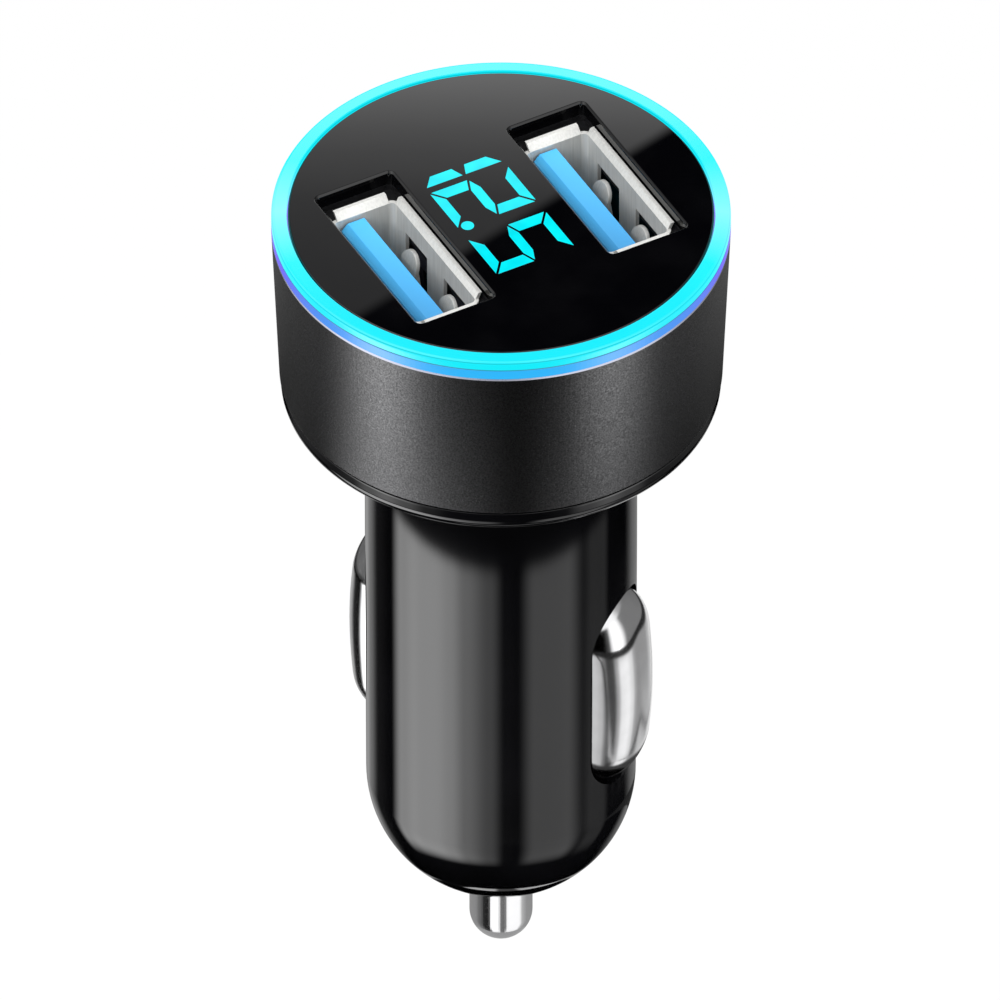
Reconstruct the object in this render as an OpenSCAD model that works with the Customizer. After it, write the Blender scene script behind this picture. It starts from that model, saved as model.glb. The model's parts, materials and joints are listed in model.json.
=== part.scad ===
// Two-port car charger: a plug for a 12 V accessory socket, with its face up and its centre contact down.
// The origin is on the axis at the shoulder under the head. +Z points to the face, +X from left port to right port.

/* [Head] */
// Height of the face above the shoulder
head_h = 17.2; // [16.8:0.1:20]
// Outside diameter of the head at the light ring
head_d = 33.74; // [33.3:0.01:36]
// How much the sleeve's radius shrinks from the ring to its foot
sleeve_taper = 0.55; // [0.2:0.05:0.6]
// Wall of the sleeve at its foot
sleeve_wall = 0.82; // [0.7:0.01:0.9]
// Height of the flange below the sleeve
flange_h = 2.1; // [1.9:0.1:3]
// Radius of the flange's lower edge
flange_edge_r = 1.2; // [0.6:0.1:1.4]
// Wall of the cup inside the sleeve
cup_wall = 1; // [0.8:0.05:1.1]
// Thickness of the cup's floor round the barrel's mouth
cup_floor_t = 1.6; // [1.2:0.1:1.8]

/* [Face] */
// Diameter of the face inside the light ring
face_d = 31.5; // [30.8:0.1:32]
// Thickness of the face panel
panel_t = 1.2; // [1:0.1:1.5]
// Drop of the light ring's outer corner below its inner edge
ring_drop = 0.42; // [0.2:0.02:0.6]
// Height of the light ring's upright outer band
ring_band_h = 0.83; // [0.6:0.01:0.9]
// Depth of the light ring's foot below the face
ring_foot_depth = 1.53; // [1.5:0.01:1.8]
// Wall of the light ring's skirt inside the cup
skirt_wall = 0.9; // [0.7:0.05:1]
// Distance between the centre lines of the two ports
port_spacing = 16.1; // [15.6:0.1:16.6]
// Width of a port's opening in the face
opening_w = 6.4; // [6.3:0.05:6.6]
// Length of a port's opening in the face
opening_l = 15.9; // [14.8:0.1:16.2]
// Corner radius of a port's opening
opening_r = 0.4; // [0.3:0.05:0.8]

/* [Ports] */
// Width of a port's steel shell
shell_w = 5.7; // [5.6:0.05:5.8]
// Length of a port's steel shell
shell_l = 13.2; // [13:0.05:13.4]
// Depth of a port's steel shell
shell_h = 13.2; // [12.6:0.1:13.4]
// Thickness of the shells' sheet
sheet_t = 0.3; // [0.2:0.05:0.35]
// Depth of the shells' mouth below the face
mouth_depth = 1; // [0.9:0.05:1.1]
// Thickness of a port's tongue
tongue_t = 1.9; // [1.8:0.05:1.95]
// Length of a port's tongue
tongue_l = 12.2; // [11.1:0.1:12.3]
// Depth of the tongue's front below the shell's mouth
tongue_depth = 0.8; // [0.6:0.1:1.4]

/* [Display] */
// Height of a digit
digit_h = 6.5; // [6:0.1:6.8]
// Width of a digit
digit_w = 4.45; // [4.2:0.05:4.5]
// Width of a digit's upright strokes
stroke_v = 1; // [0.8:0.05:1.1]
// Width of a digit's level strokes
stroke_h = 0.78; // [0.6:0.02:0.9]
// Radius of the decimal point
point_r = 0.48; // [0.4:0.02:0.5]

/* [Barrel] */
// Diameter of the barrel's straight stretch under the shoulder
barrel_d = 20.1; // [19.8:0.05:20.6]
// Length of the straight stretch, where the socket's mouth holds the plug
collar_l = 15; // [12:0.1:15.2]
// Diameter of the round nose
nose_d = 20; // [19.7:0.05:20.05]
// Distance from the shoulder to the centre of the round nose
barrel_l = 37; // [36.5:0.1:40]
// Wall of the barrel
barrel_wall = 1.6; // [1.4:0.05:1.8]

/* [Centre contact] */
// Diameter of the centre contact
tip_d = 4.7; // [4.2:0.05:5]
// How far the centre contact stands out of the nose
tip_out = 6.75; // [5:0.05:8]
// Travel of the centre contact
tip_travel = 3; // [2:0.1:3.2]

/* [Ground contacts] */
// Angle of the right ground contact round the barrel
contact_angle = -54.8; // [-60:0.1:-50]
// Length of a ground contact
contact_l = 18.4; // [17:0.1:18.8]
// Width of a ground contact
contact_w = 7.8; // [7:0.1:8]
// Distance from the axis to a ground contact's crown
contact_crown = 11.8; // [11.6:0.05:12]
// Distance from the shoulder to the middle of a ground contact
contact_depth = 25.1; // [25:0.1:26]
// Radius of a ground contact's edges
contact_edge_r = 2.8; // [1.5:0.1:3]
// Radius of the arch along a ground contact's crown
contact_arch_r = 70; // [50:5:100]
// Wall of a ground contact
contact_wall = 0.6; // [0.5:0.05:0.8]
// Travel of a ground contact
contact_travel = 1.6; // [1.5:0.05:1.65]

/* [Boards] */
// Thickness of the round port board
port_board_t = 1; // [0.8:0.1:1]
// Thickness of the upright main board
main_board_t = 1.2; // [1:0.1:1.6]
// Width of the main board above the ground contacts
main_board_w = 14.6; // [13.6:0.1:14.8]

/* [Hidden] */
$fn = 96;

// Clearances
slip = 0.1;
loose = 0.2;
eps = 0.01;

// Head, radii
head_r = head_d / 2;
sleeve_foot_r = head_r - sleeve_taper;
sleeve_bore_r = sleeve_foot_r - sleeve_wall;
flange_r = sleeve_foot_r - slip;
groove_r = sleeve_bore_r + sleeve_wall / 2;
groove_h = 0.2;
cup_r = sleeve_bore_r - slip;
cup_bore_r = cup_r - cup_wall;
skirt_r = cup_bore_r - loose;
skirt_bore_r = skirt_r - skirt_wall;
rim_bore_r = face_d / 2;
panel_r = rim_bore_r - slip;
rebate_r = skirt_r - slip;
holder_flange_r = rebate_r - slip;
holder_r = skirt_bore_r - loose;

// Head, heights
face_z = head_h;
panel_z = face_z - panel_t;
ring_foot_z = face_z - ring_foot_depth;
ring_lip_t = 1.07;
cup_top_z = ring_foot_z - ring_lip_t;
ring_proud = 0.1;
ring_corner_w = 0.17;
ring_groove_w = 0.12;
sleeve_bevel = 0.17;
panel_bevel = 0.12;
opening_bevel = 0.15;

// Ports
port_x = port_spacing / 2;
mouth_z = face_z - mouth_depth;
port_board_top = mouth_z - shell_h;
port_board_z = port_board_top - port_board_t;
shell_corner_r = 0.7;
lip_h = 0.5;
long_lip_out = 0.25;
short_lip_out = 0.5;
long_lip_l = shell_l - 1;
short_lip_l = shell_w - 2 * shell_corner_r;
recess_depth = 0.5;
tongue_top = mouth_z - tongue_depth;
tongue_side = shell_w / 2 - sheet_t - 0.6;
tongue_bevel = 0.5;
base_h = 2.2;
tail_out = 0.3;
pin_out = 0.6;
tab_w = 1.2;
finger_y = 2.9;
finger_w = 2.2;
window_w = 3.3;
window_top = mouth_z - 2.15;
window_h = 6.4;
finger_gap = 0.55;
finger_dip = 0.7;
back_finger_dip = 0.2;
contact_strip_w = 1;
contact_strip_t = 0.2;
contact_strip_out = 0.05;
contact_strip_y = [-3.5, -1, 1, 3.5];

// Holder under the panel
holder_flange_t = 1;
holder_boss_t = 2;
holder_leg_r = 1.1;
holder_leg_x = 3;
holder_leg_y = 10.8;
ledge_w = 1.5;

// Display
display_w = 8.8;
display_l = 14.4;
display_t = 5.5;
display_x = 0;
digit_x = -0.35;
digit_y = [7.2, 2.1, -3.7];
digit_strokes = [[1, 2], [0, 1, 6, 4, 3], [0, 5, 6, 2, 3]];
stroke_gap = 0.14;
point_at = [-2.87, -0.13];
point_clear = 0.12;
display_pin_d = 0.5;
display_pin_x = 3.8;
display_pin_y = [-5, -2.5, 0, 2.5, 5];

// Lamps under the light ring
lamp_count = 8;
lamp_size = [0.9, 1.6, 0.55];
skirt_z = port_board_top + 1;
lamp_r = (skirt_r + skirt_bore_r) / 2 - 0.1;

// Barrel
barrel_r = barrel_d / 2;
nose_r = nose_d / 2;
bore_r = barrel_r - barrel_wall;
nose_z = -barrel_l;
nose_bore_r = nose_r - barrel_wall;
tip_seat_z = nose_z - 6.6;
tip_r = tip_d / 2;
tip_clear = 0.08;
tip_end_z = nose_z - nose_r - tip_out;
tip_flange_r = 3.4;
tip_flange_t = 1;
spigot_r = 1.3;
spigot_h = 1;

// Ground contacts
contact_z = -contact_depth;
slot_clear = 0.15;
wing_out = 1;
wing_t = 0.6;
wing_r = bore_r - slip;
crown_wall = contact_wall + 0.5;
contact_foot = sqrt(pow(wing_r - wing_t, 2) - pow(contact_w / 2, 2));

// Springs
spring_cup_r = 3;
spring_cup_wall = 0.4;
spring_cup_h = 2.1;
spring_cup_floor = 0.5;
spring_wire_d = 0.45;
spring_r = 2.1;
spring_turns = 6;
spring_sides = 8;
spring_steps = 16;
leaf_w = 3.2;
leaf_t = 0.25;
leaf_foot = 7;
leaf_foot_l = 1.6;
leaf_top = 3;

// Main board, with a waist that leaves the pressed ground contacts and the feet of their springs their room
main_board_top = port_board_z - pin_out - loose;
leaf_room = 0.95;
waist_w = 2 * (wing_r - wing_t - contact_travel - leaf_room);
waist_top_z = contact_z + contact_l / 2 + wing_out + 1;
spring_solid_h = (spring_turns + 1) * spring_wire_d;
spring_slack = 0.45;
main_board_end_z = tip_seat_z + tip_flange_t + spring_solid_h + tip_travel + spring_slack + spring_cup_floor;
rail_gap = 0.1;
rail_w = 0.8;
rail_top_z = -0.5;
rail_l = rail_top_z - waist_top_z - 0.4;
header_pitch = 2;
header_count = 5;
header_w = 0.64;

// Plain shapes

// Box with upright edges rounded, standing on z = 0, whose sides flare outwards by flare at the top
module rounded_box(size, r, h, flare = 0) {
    inner = [size[0] / 2 - r, size[1] / 2 - r];
    for (sx = [-1, 1], sy = [-1, 1])
        translate([sx * inner[0], sy * inner[1], 0])
            cylinder(r1 = r, r2 = r + flare, h = h);
    rotate([90, 0, 0])
        linear_extrude(2 * inner[1], center = true)
            flared_section(size[0] / 2, h, flare);
    rotate([90, 0, 90])
        linear_extrude(2 * inner[0], center = true)
            flared_section(size[1] / 2, h, flare);
}

module flared_section(half, h, flare) {
    polygon([[-half, 0], [half, 0], [half + flare, h], [-half - flare, h]]);
}

// Places its children at the left (side = -1) or right (side = 1) port
module at_port(side) {
    translate([side * port_x, 0, 0])
        children();
}

// Places its children, drawn facing +X, at a ground contact; turn = 0 is the right one
module at_contact(turn) {
    rotate([0, 0, contact_angle + turn])
        translate([0, 0, contact_z])
            children();
}

// Turns its children, drawn with the board's plane in X and Z, into the main board's plane
module on_main_board() {
    rotate([0, 0, contact_angle])
        children();
}

// Barrel

module barrel() {
    color("#101012")
        difference() {
            union() {
                barrel_outside();
                cup_wall_ring();
            }
            barrel_bore();
            for (turn = [0, 180])
                at_contact(turn)
                    contact_slot();
        }
    color("#101012")
        barrel_rails();
}

module barrel_outside() {
    rotate_extrude() {
        square([bore_r + eps, flange_h]);
        translate([0, -collar_l])
            square([barrel_r, collar_l]);
        polygon([[0, -collar_l], [barrel_r, -collar_l], [nose_r, nose_z], [0, nose_z]]);
        intersection() {
            translate([0, nose_z])
                circle(nose_r);
            translate([0, nose_z - nose_r])
                square([nose_r, nose_r]);
        }
        square([flange_r - flange_edge_r, flange_h]);
        translate([0, flange_edge_r])
            square([flange_r, flange_h - groove_h - flange_edge_r]);
        square([groove_r, flange_h]);
        intersection() {
            translate([flange_r - flange_edge_r, flange_edge_r])
                circle(flange_edge_r);
            translate([flange_r - flange_edge_r, 0])
                square(flange_edge_r);
        }
    }
}

module cup_wall_ring() {
    rotate_extrude()
        translate([cup_bore_r, 0])
            square([cup_wall, cup_top_z]);
}

module barrel_bore() {
    rotate_extrude() {
        // the cup, with a ledge for the port board
        translate([0, cup_floor_t])
            square([cup_bore_r - ledge_w, cup_top_z]);
        translate([0, port_board_z])
            square([cup_bore_r, cup_top_z]);
        // the barrel's bore, down to the flat seat of the centre contact
        translate([0, nose_z])
            square([bore_r, cup_floor_t - nose_z + eps]);
        intersection() {
            translate([0, nose_z])
                circle(nose_bore_r);
            translate([0, tip_seat_z])
                square([nose_bore_r, nose_z - tip_seat_z]);
        }
        translate([0, tip_end_z])
            square([tip_r + tip_clear, tip_seat_z - tip_end_z + eps]);
    }
}

module contact_slot() {
    straight = contact_l - contact_w;
    reach = barrel_r + 1;
    half = contact_w / 2 + slot_clear;
    translate([0, -half, -straight / 2])
        cube([reach, 2 * half, straight]);
    for (s = [-1, 1])
        translate([0, 0, s * straight / 2])
            rotate([0, 90, 0])
                cylinder(r = half, h = reach);
}

// Two pairs of rails that hold the main board's edges
module barrel_rails() {
    gap = main_board_t + 2 * rail_gap;
    intersection() {
        translate([0, 0, rail_top_z - rail_l])
            cylinder(r = bore_r + barrel_wall / 2, h = rail_l);
        on_main_board()
            for (sx = [0, 1], sy = [-1, 1])
                mirror([sx, 0, 0])
                    translate([main_board_w / 2 - rail_w, sy * (gap + rail_w) / 2 - rail_w / 2, rail_top_z - rail_l])
                        cube([barrel_r, rail_w, rail_l]);
    }
}

// Sleeve, light ring and panel

module head_sleeve() {
    slope = sleeve_taper / (ring_foot_z - flange_h);
    color("#2d2d30")
        rotate_extrude()
            polygon([
                [sleeve_bore_r, flange_h],
                [sleeve_foot_r, flange_h],
                [head_r - slope * sleeve_bevel, ring_foot_z - sleeve_bevel],
                [head_r - sleeve_bevel, ring_foot_z],
                [sleeve_bore_r, ring_foot_z]
            ]);
}

module light_ring() {
    inner_z = face_z + ring_proud;
    corner_r = head_r - ring_corner_w;
    corner_z = inner_z - ring_drop;
    fall = ring_drop / (corner_r - rim_bore_r);
    groove_r = rim_bore_r + 0.7 * (head_r - rim_bore_r);
    function top_z(r) = inner_z - fall * (r - rim_bore_r);
    color("#16e4f4")
        rotate_extrude()
            polygon([
                [skirt_bore_r, skirt_z],
                [skirt_r, skirt_z],
                [skirt_r, cup_top_z],
                [cup_r, cup_top_z],
                [cup_r, ring_foot_z],
                [head_r, ring_foot_z],
                [head_r, ring_foot_z + ring_band_h],
                [corner_r, corner_z],
                [groove_r + ring_groove_w, top_z(groove_r + ring_groove_w)],
                [groove_r, top_z(groove_r) - ring_groove_w],
                [groove_r - ring_groove_w, top_z(groove_r - ring_groove_w)],
                [rim_bore_r, inner_z],
                [rim_bore_r, panel_z],
                [rebate_r, panel_z],
                [rebate_r, panel_z - holder_flange_t],
                [skirt_bore_r, panel_z - holder_flange_t]
            ]);
}

module face_panel() {
    color("#0a0a0c")
        difference() {
            union() {
                translate([0, 0, panel_z])
                    cylinder(r = panel_r, h = panel_t - panel_bevel);
                translate([0, 0, face_z - panel_bevel])
                    cylinder(r1 = panel_r, r2 = panel_r - panel_bevel, h = panel_bevel);
            }
            for (side = [-1, 1])
                at_port(side)
                    port_opening();
            translate([0, 0, panel_z - eps])
                linear_extrude(panel_t + 2 * eps)
                    digit_outlines();
        }
}

module port_opening() {
    translate([0, 0, panel_z - eps])
        rounded_box([opening_w, opening_l], opening_r, panel_t + 2 * eps);
    translate([0, 0, face_z - opening_bevel])
        rounded_box([opening_w, opening_l], opening_r, 2 * opening_bevel, 2 * opening_bevel);
}

// Black moulding under the panel: it locates both ports and the display, and stands on the port board
module port_holder() {
    flange_z = panel_z - holder_flange_t;
    boss_z = flange_z - holder_boss_t;
    slot = [shell_w + 2 * slip, shell_l + 2 * slip];
    color("#151517")
        difference() {
            union() {
                translate([0, 0, flange_z])
                    cylinder(r = holder_flange_r, h = holder_flange_t);
                translate([0, 0, boss_z])
                    cylinder(r = holder_r, h = holder_boss_t);
                for (sx = [-1, 1], sy = [-1, 1])
                    translate([sx * holder_leg_x, sy * holder_leg_y, port_board_top])
                        cylinder(r = holder_leg_r, h = boss_z - port_board_top);
            }
            for (side = [-1, 1])
                at_port(side) {
                    translate([0, 0, boss_z - eps])
                        rounded_box(slot, shell_corner_r + slip, holder_boss_t + holder_flange_t + 2 * eps);
                    translate([0, 0, panel_z - recess_depth])
                        rounded_box([opening_w, opening_l], opening_r, 2 * recess_depth);
                }
            translate([display_x - display_w / 2 - slip, -display_l / 2 - slip, boss_z - eps])
                cube([display_w + 2 * slip, display_l + 2 * slip, panel_z - boss_z + 2 * eps]);
        }
}

// Display

// One stroke of a digit whose lower left corner is at the origin, in the order a, b, c, d, e, f, g
module digit_stroke(n) {
    w = digit_w;
    h = digit_h;
    mid = h / 2;
    g = stroke_gap;
    level = [[g, h], [w - g, h], [w - stroke_v - g, h - stroke_h], [stroke_v + g, h - stroke_h]];
    upright = [[0, h - g], [stroke_v, h - stroke_h - g], [stroke_v, mid + stroke_h / 2 + g], [0, mid + g]];
    centre = [
        [g, mid], [stroke_v + g, mid + stroke_h / 2], [w - stroke_v - g, mid + stroke_h / 2],
        [w - g, mid], [w - stroke_v - g, mid - stroke_h / 2], [stroke_v + g, mid - stroke_h / 2]
    ];
    function flip_x(p) = [for (q = p) [w - q[0], q[1]]];
    function flip_y(p) = [for (q = p) [q[0], h - q[1]]];
    polygon([level, flip_x(upright), flip_x(flip_y(upright)), flip_y(level), flip_y(upright), upright, centre][n]);
}

// The lit strokes and the decimal point, read with +X up and -Y to the right
module digit_outlines() {
    for (i = [0 : len(digit_y) - 1])
        difference() {
            translate([digit_x - digit_h / 2, digit_y[i] + digit_w / 2])
                rotate(-90)
                    for (n = digit_strokes[i])
                        digit_stroke(n);
            translate(point_at)
                circle(point_r + point_clear);
        }
    translate(point_at)
        circle(point_r);
}

module display_digits() {
    color("#00f0fa")
        translate([0, 0, panel_z])
            linear_extrude(panel_t)
                digit_outlines();
}

module display_module() {
    color("#3a3a3e")
        translate([display_x - display_w / 2, -display_l / 2, panel_z - display_t])
            cube([display_w, display_l, display_t]);
    color("#c8c8cc")
        for (sx = [-1, 1], y = display_pin_y)
            translate([display_x + sx * display_pin_x, y, port_board_z - pin_out])
                cylinder(d = display_pin_d, h = panel_z - display_t - port_board_z + pin_out);
}

// Ports

module port_shell() {
    color("#c9ccd0") {
        difference() {
            union() {
                translate([0, 0, port_board_top])
                    difference() {
                        rounded_box([shell_w, shell_l], shell_corner_r, shell_h - lip_h);
                        translate([0, 0, -eps])
                            rounded_box(
                                [shell_w - 2 * sheet_t, shell_l - 2 * sheet_t],
                                shell_corner_r - sheet_t, shell_h - lip_h + 2 * eps
                            );
                    }
                for (s = [0, 1]) {
                    mirror([s, 0, 0])
                        shell_lip(shell_w / 2, long_lip_l, long_lip_out);
                    mirror([0, s, 0])
                        rotate([0, 0, 90])
                            shell_lip(shell_l / 2, short_lip_l, short_lip_out);
                }
                for (sx = [0, 1], sy = [-1, 1])
                    mirror([sx, 0, 0])
                        translate([shell_w / 2 - sheet_t, sy * finger_y - tab_w / 2, port_board_z - tail_out])
                            cube([sheet_t, tab_w, port_board_t + tail_out + eps]);
            }
            for (sx = [0, 1], sy = [-1, 1])
                mirror([sx, 0, 0])
                    translate([shell_w / 2 - 2 * sheet_t, sy * finger_y - window_w / 2, window_top - window_h])
                        cube([3 * sheet_t, window_w, window_h]);
        }
        for (sy = [-1, 1]) {
            translate([0, sy * finger_y, 0])
                spring_finger(finger_dip);
            mirror([1, 0, 0])
                translate([0, sy * finger_y, 0])
                    spring_finger(back_finger_dip);
        }
    }
}

// One flared lip at the shell's mouth, on the side that faces +X at distance at
module shell_lip(at, length, out) {
    foot = mouth_z - lip_h - eps;
    rotate([90, 0, 0])
        linear_extrude(length, center = true)
            polygon([
                [at - sheet_t, foot], [at, foot], [at, foot + 2 * eps],
                [at + out, mouth_z], [at + out - sheet_t, mouth_z]
            ]);
}

// Spring finger in a window of the shell's +X wall: rooted below, dipping inwards by dip, with a round free end
module spring_finger(dip) {
    root = window_top - window_h - eps;
    tip = window_top - finger_gap;
    face = shell_w / 2;
    dip_z = tip - 1.1;
    intersection() {
        rotate([90, 0, 0])
            linear_extrude(finger_w, center = true)
                polygon([
                    [face, root], [face - dip, dip_z], [face - dip / 2, tip],
                    [face - dip / 2 - sheet_t, tip], [face - dip - sheet_t, dip_z],
                    [face - sheet_t, root]
                ]);
        rotate([0, -90, 0])
            translate([0, 0, -face])
                linear_extrude(2 * face) {
                    translate([root, -finger_w / 2])
                        square([tip - finger_w / 2 - root, finger_w]);
                    translate([tip - finger_w / 2, 0])
                        circle(finger_w / 2);
                }
    }
}

module port_tongue() {
    left = -tongue_side;
    color("#2f8fd6")
        difference() {
            union() {
                rotate([90, 0, 0])
                    linear_extrude(tongue_l, center = true)
                        polygon([
                            [left, port_board_top + base_h - eps],
                            [left + tongue_t, port_board_top + base_h - eps],
                            [left + tongue_t, tongue_top],
                            [left + tongue_bevel, tongue_top],
                            [left, tongue_top - tongue_bevel]
                        ]);
                translate([-shell_w / 2 + sheet_t, -shell_l / 2 + sheet_t, port_board_top])
                    intersection() {
                        cube([shell_w - 2 * sheet_t, shell_l - 2 * sheet_t, base_h]);
                        translate([shell_w / 2 - sheet_t, shell_l / 2 - sheet_t, 0])
                            rounded_box(
                                [shell_w - 2 * sheet_t, shell_l - 2 * sheet_t],
                                shell_corner_r - sheet_t, base_h
                            );
                    }
            }
            contact_strips(eps);
        }
}

// Four contact strips on the tongue, each with a tail through the board; grow lengthens them to cut the tongue
module contact_strips(grow = 0) {
    face = tongue_t - tongue_side;
    foot = port_board_z - tail_out;
    for (y = contact_strip_y)
        translate([face - contact_strip_t, y - contact_strip_w / 2, foot])
            cube([
                contact_strip_t + contact_strip_out,
                contact_strip_w,
                tongue_top - 0.6 - foot + grow
            ]);
}

module port_contacts() {
    color("#d8b25a")
        contact_strips();
}

module left_port_shell() {
    at_port(-1) port_shell();
}

module right_port_shell() {
    at_port(1) port_shell();
}

module left_port_tongue() {
    at_port(-1) port_tongue();
}

module right_port_tongue() {
    at_port(1) port_tongue();
}

module left_port_contacts() {
    at_port(-1) port_contacts();
}

module right_port_contacts() {
    at_port(1) port_contacts();
}

// Boards

module port_board() {
    color("#14532d")
        difference() {
            translate([0, 0, port_board_z])
                cylinder(r = skirt_r, h = port_board_t);
            translate([0, 0, port_board_z - eps])
                board_holes(port_board_t + 2 * eps);
        }
}

// Holes of the port board, for the shells' tabs, the contacts' tails, the display's pins and the header
module board_holes(h) {
    tab = [sheet_t + 2 * slip, tab_w + 2 * slip];
    strip_x = tongue_t - tongue_side - contact_strip_t - slip;
    for (side = [-1, 1])
        at_port(side) {
            for (sx = [-1, 1], sy = [-1, 1])
                translate([sx * (shell_w - sheet_t) / 2 - tab[0] / 2, sy * finger_y - tab[1] / 2, 0])
                    cube([tab[0], tab[1], h]);
            for (y = contact_strip_y)
                translate([strip_x, y - contact_strip_w / 2 - slip, 0])
                    cube([contact_strip_t + contact_strip_out + 2 * slip, contact_strip_w + 2 * slip, h]);
        }
    for (sx = [-1, 1], y = display_pin_y)
        translate([display_x + sx * display_pin_x, y, 0])
            cylinder(d = display_pin_d + 2 * slip, h = h);
    header_places()
        cylinder(d = header_w * sqrt(2) + 2 * slip, h = h);
}

module ring_lamps() {
    color("#f2f2ea")
        for (i = [0 : lamp_count - 1])
            rotate([0, 0, (i + 0.5) * 360 / lamp_count])
                translate([lamp_r - lamp_size[0] / 2, -lamp_size[1] / 2, port_board_top])
                    cube(lamp_size);
}

module main_board() {
    color("#14532d")
        on_main_board()
            rotate([90, 0, 0])
                linear_extrude(main_board_t, center = true)
                    polygon([
                        [-main_board_w / 2, main_board_top], [main_board_w / 2, main_board_top],
                        [main_board_w / 2, waist_top_z], [waist_w / 2, waist_top_z],
                        [waist_w / 2, main_board_end_z], [-waist_w / 2, main_board_end_z],
                        [-waist_w / 2, waist_top_z], [-main_board_w / 2, waist_top_z]
                    ]);
}

// Places its children at each header pin, on the main board's face
module header_places() {
    on_main_board()
        for (i = [0 : header_count - 1])
            translate([(i - (header_count - 1) / 2) * header_pitch, (main_board_t + header_w) / 2, 0])
                children();
}

module header_pins() {
    foot = port_board_z - 5;
    color("#d8b25a")
        header_places()
            translate([-header_w / 2, -header_w / 2, foot])
                cube([header_w, header_w, port_board_top + 0.8 - foot]);
}

// Places its children on the main board's front (side = 1) or back (side = -1) face, standing off it along +Z
module on_face(side, x, z) {
    on_main_board()
        translate([x, side * main_board_t / 2, z])
            rotate([-side * 90, 0, 0])
                children();
}

module choke() {
    color("#3c3c40")
        on_face(1, 0, -8.5) {
            cylinder(d = 8, h = 0.8);
            cylinder(d = 5, h = 5);
            translate([0, 0, 4.2])
                cylinder(d = 8, h = 0.8);
        }
    color("#b5652a")
        on_face(1, 0, -8.5)
            translate([0, 0, 0.8])
                difference() {
                    cylinder(d = 7.4, h = 3.4);
                    translate([0, 0, -eps])
                        cylinder(d = 5, h = 3.4 + 2 * eps);
                }
}

// Radial capacitor that lies along the board: a can with a rolled groove, and two leads bent to the board
module lying_capacitor(side, d, length, top_z) {
    lead_d = 0.5;
    lead_l = 1.2;
    groove_at = length - 1.8;
    color("#1f2a44")
        on_main_board()
            translate([0, side * (main_board_t / 2 + d / 2), top_z - length])
                difference() {
                    cylinder(d = d, h = length);
                    translate([0, 0, groove_at])
                        rotate_extrude()
                            translate([d / 2 + 0.2, 0])
                                circle(0.5);
                }
    color("#c8c8cc")
        for (s = [-1, 1])
            on_main_board() {
                translate([s * d / 4, side * (main_board_t / 2 + d / 2), top_z - eps])
                    cylinder(d = lead_d, h = lead_l);
                translate([s * d / 4, 0, top_z + lead_l - lead_d / 2])
                    rotate([-side * 90, 0, 0])
                        translate([0, 0, main_board_t / 2])
                            cylinder(d = lead_d, h = d / 2);
            }
}

module input_capacitor() {
    lying_capacitor(1, 6.3, 11, -15.5);
}

module output_capacitor() {
    lying_capacitor(-1, 5, 9, -17);
}

module regulator_chip() {
    size = [4.9, 3.9, 1.5];
    leg = [0.4, 1, 0.2];
    color("#1c1c1e")
        on_face(-1, 0, -6)
            translate([-size[0] / 2, -size[1] / 2, 0.1])
                cube(size);
    color("#c8c8cc")
        on_face(-1, 0, -6)
            for (i = [0 : 3], s = [0, 1])
                mirror([0, s, 0])
                    translate([(i - 1.5) * 1.27 - leg[0] / 2, size[1] / 2 - eps, 0])
                        cube([leg[0], leg[1], leg[2]]);
}

module rectifier_diode() {
    color("#1c1c1e")
        on_face(1, 0, -30.5)
            translate([-2.2, -1.3, 0])
                cube([4.4, 2.6, 2.1]);
}

module chip_resistors() {
    places = [[-1, -3, -11.5], [-1, 0, -11.5], [-1, 3, -11.5], [-1, -3, -29], [-1, 0, -29], [1, 3.4, -14]];
    color("#2a2a2c")
        for (p = places)
            on_face(p[0], p[1], p[2])
                translate([-0.8, -0.4, 0])
                    cube([1.6, 0.8, 0.5]);
}

// Centre contact

module centre_contact() {
    color("#d4d6d8")
        rotate_extrude() {
            translate([0, tip_end_z + tip_r])
                square([tip_r, tip_seat_z - tip_end_z - tip_r + eps]);
            intersection() {
                translate([0, tip_end_z + tip_r])
                    circle(tip_r);
                translate([0, tip_end_z])
                    square(tip_r);
            }
            translate([0, tip_seat_z])
                square([tip_flange_r, tip_flange_t]);
            translate([0, tip_seat_z])
                square([spigot_r, tip_flange_t + spigot_h]);
        }
}

// Brass cup on the main board's end, open downwards, with two lugs soldered to the board's faces
module spring_cup() {
    top = main_board_end_z;
    color("#c9a14a") {
        difference() {
            translate([0, 0, top - spring_cup_h])
                cylinder(r = spring_cup_r, h = spring_cup_h);
            translate([0, 0, top - spring_cup_h - eps])
                cylinder(r = spring_cup_r - spring_cup_wall, h = spring_cup_h - spring_cup_floor + eps);
        }
        on_main_board()
            for (s = [-1, 1])
                translate([-1.5, s * (main_board_t / 2 + 0.2) - 0.2, top - eps])
                    cube([3, 0.4, 2.4]);
    }
}

// Height of a coil spring's wire at t turns: one flat turn at each end, and an even pitch between
function coil_z(t, turns, wire, l) =
    t < 1 ? wire / 2 + wire * t
    : t > turns - 1 ? l - wire / 2 - wire * (turns - t)
    : 1.5 * wire + (l - 3 * wire) * (t - 1) / (turns - 2);

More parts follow.
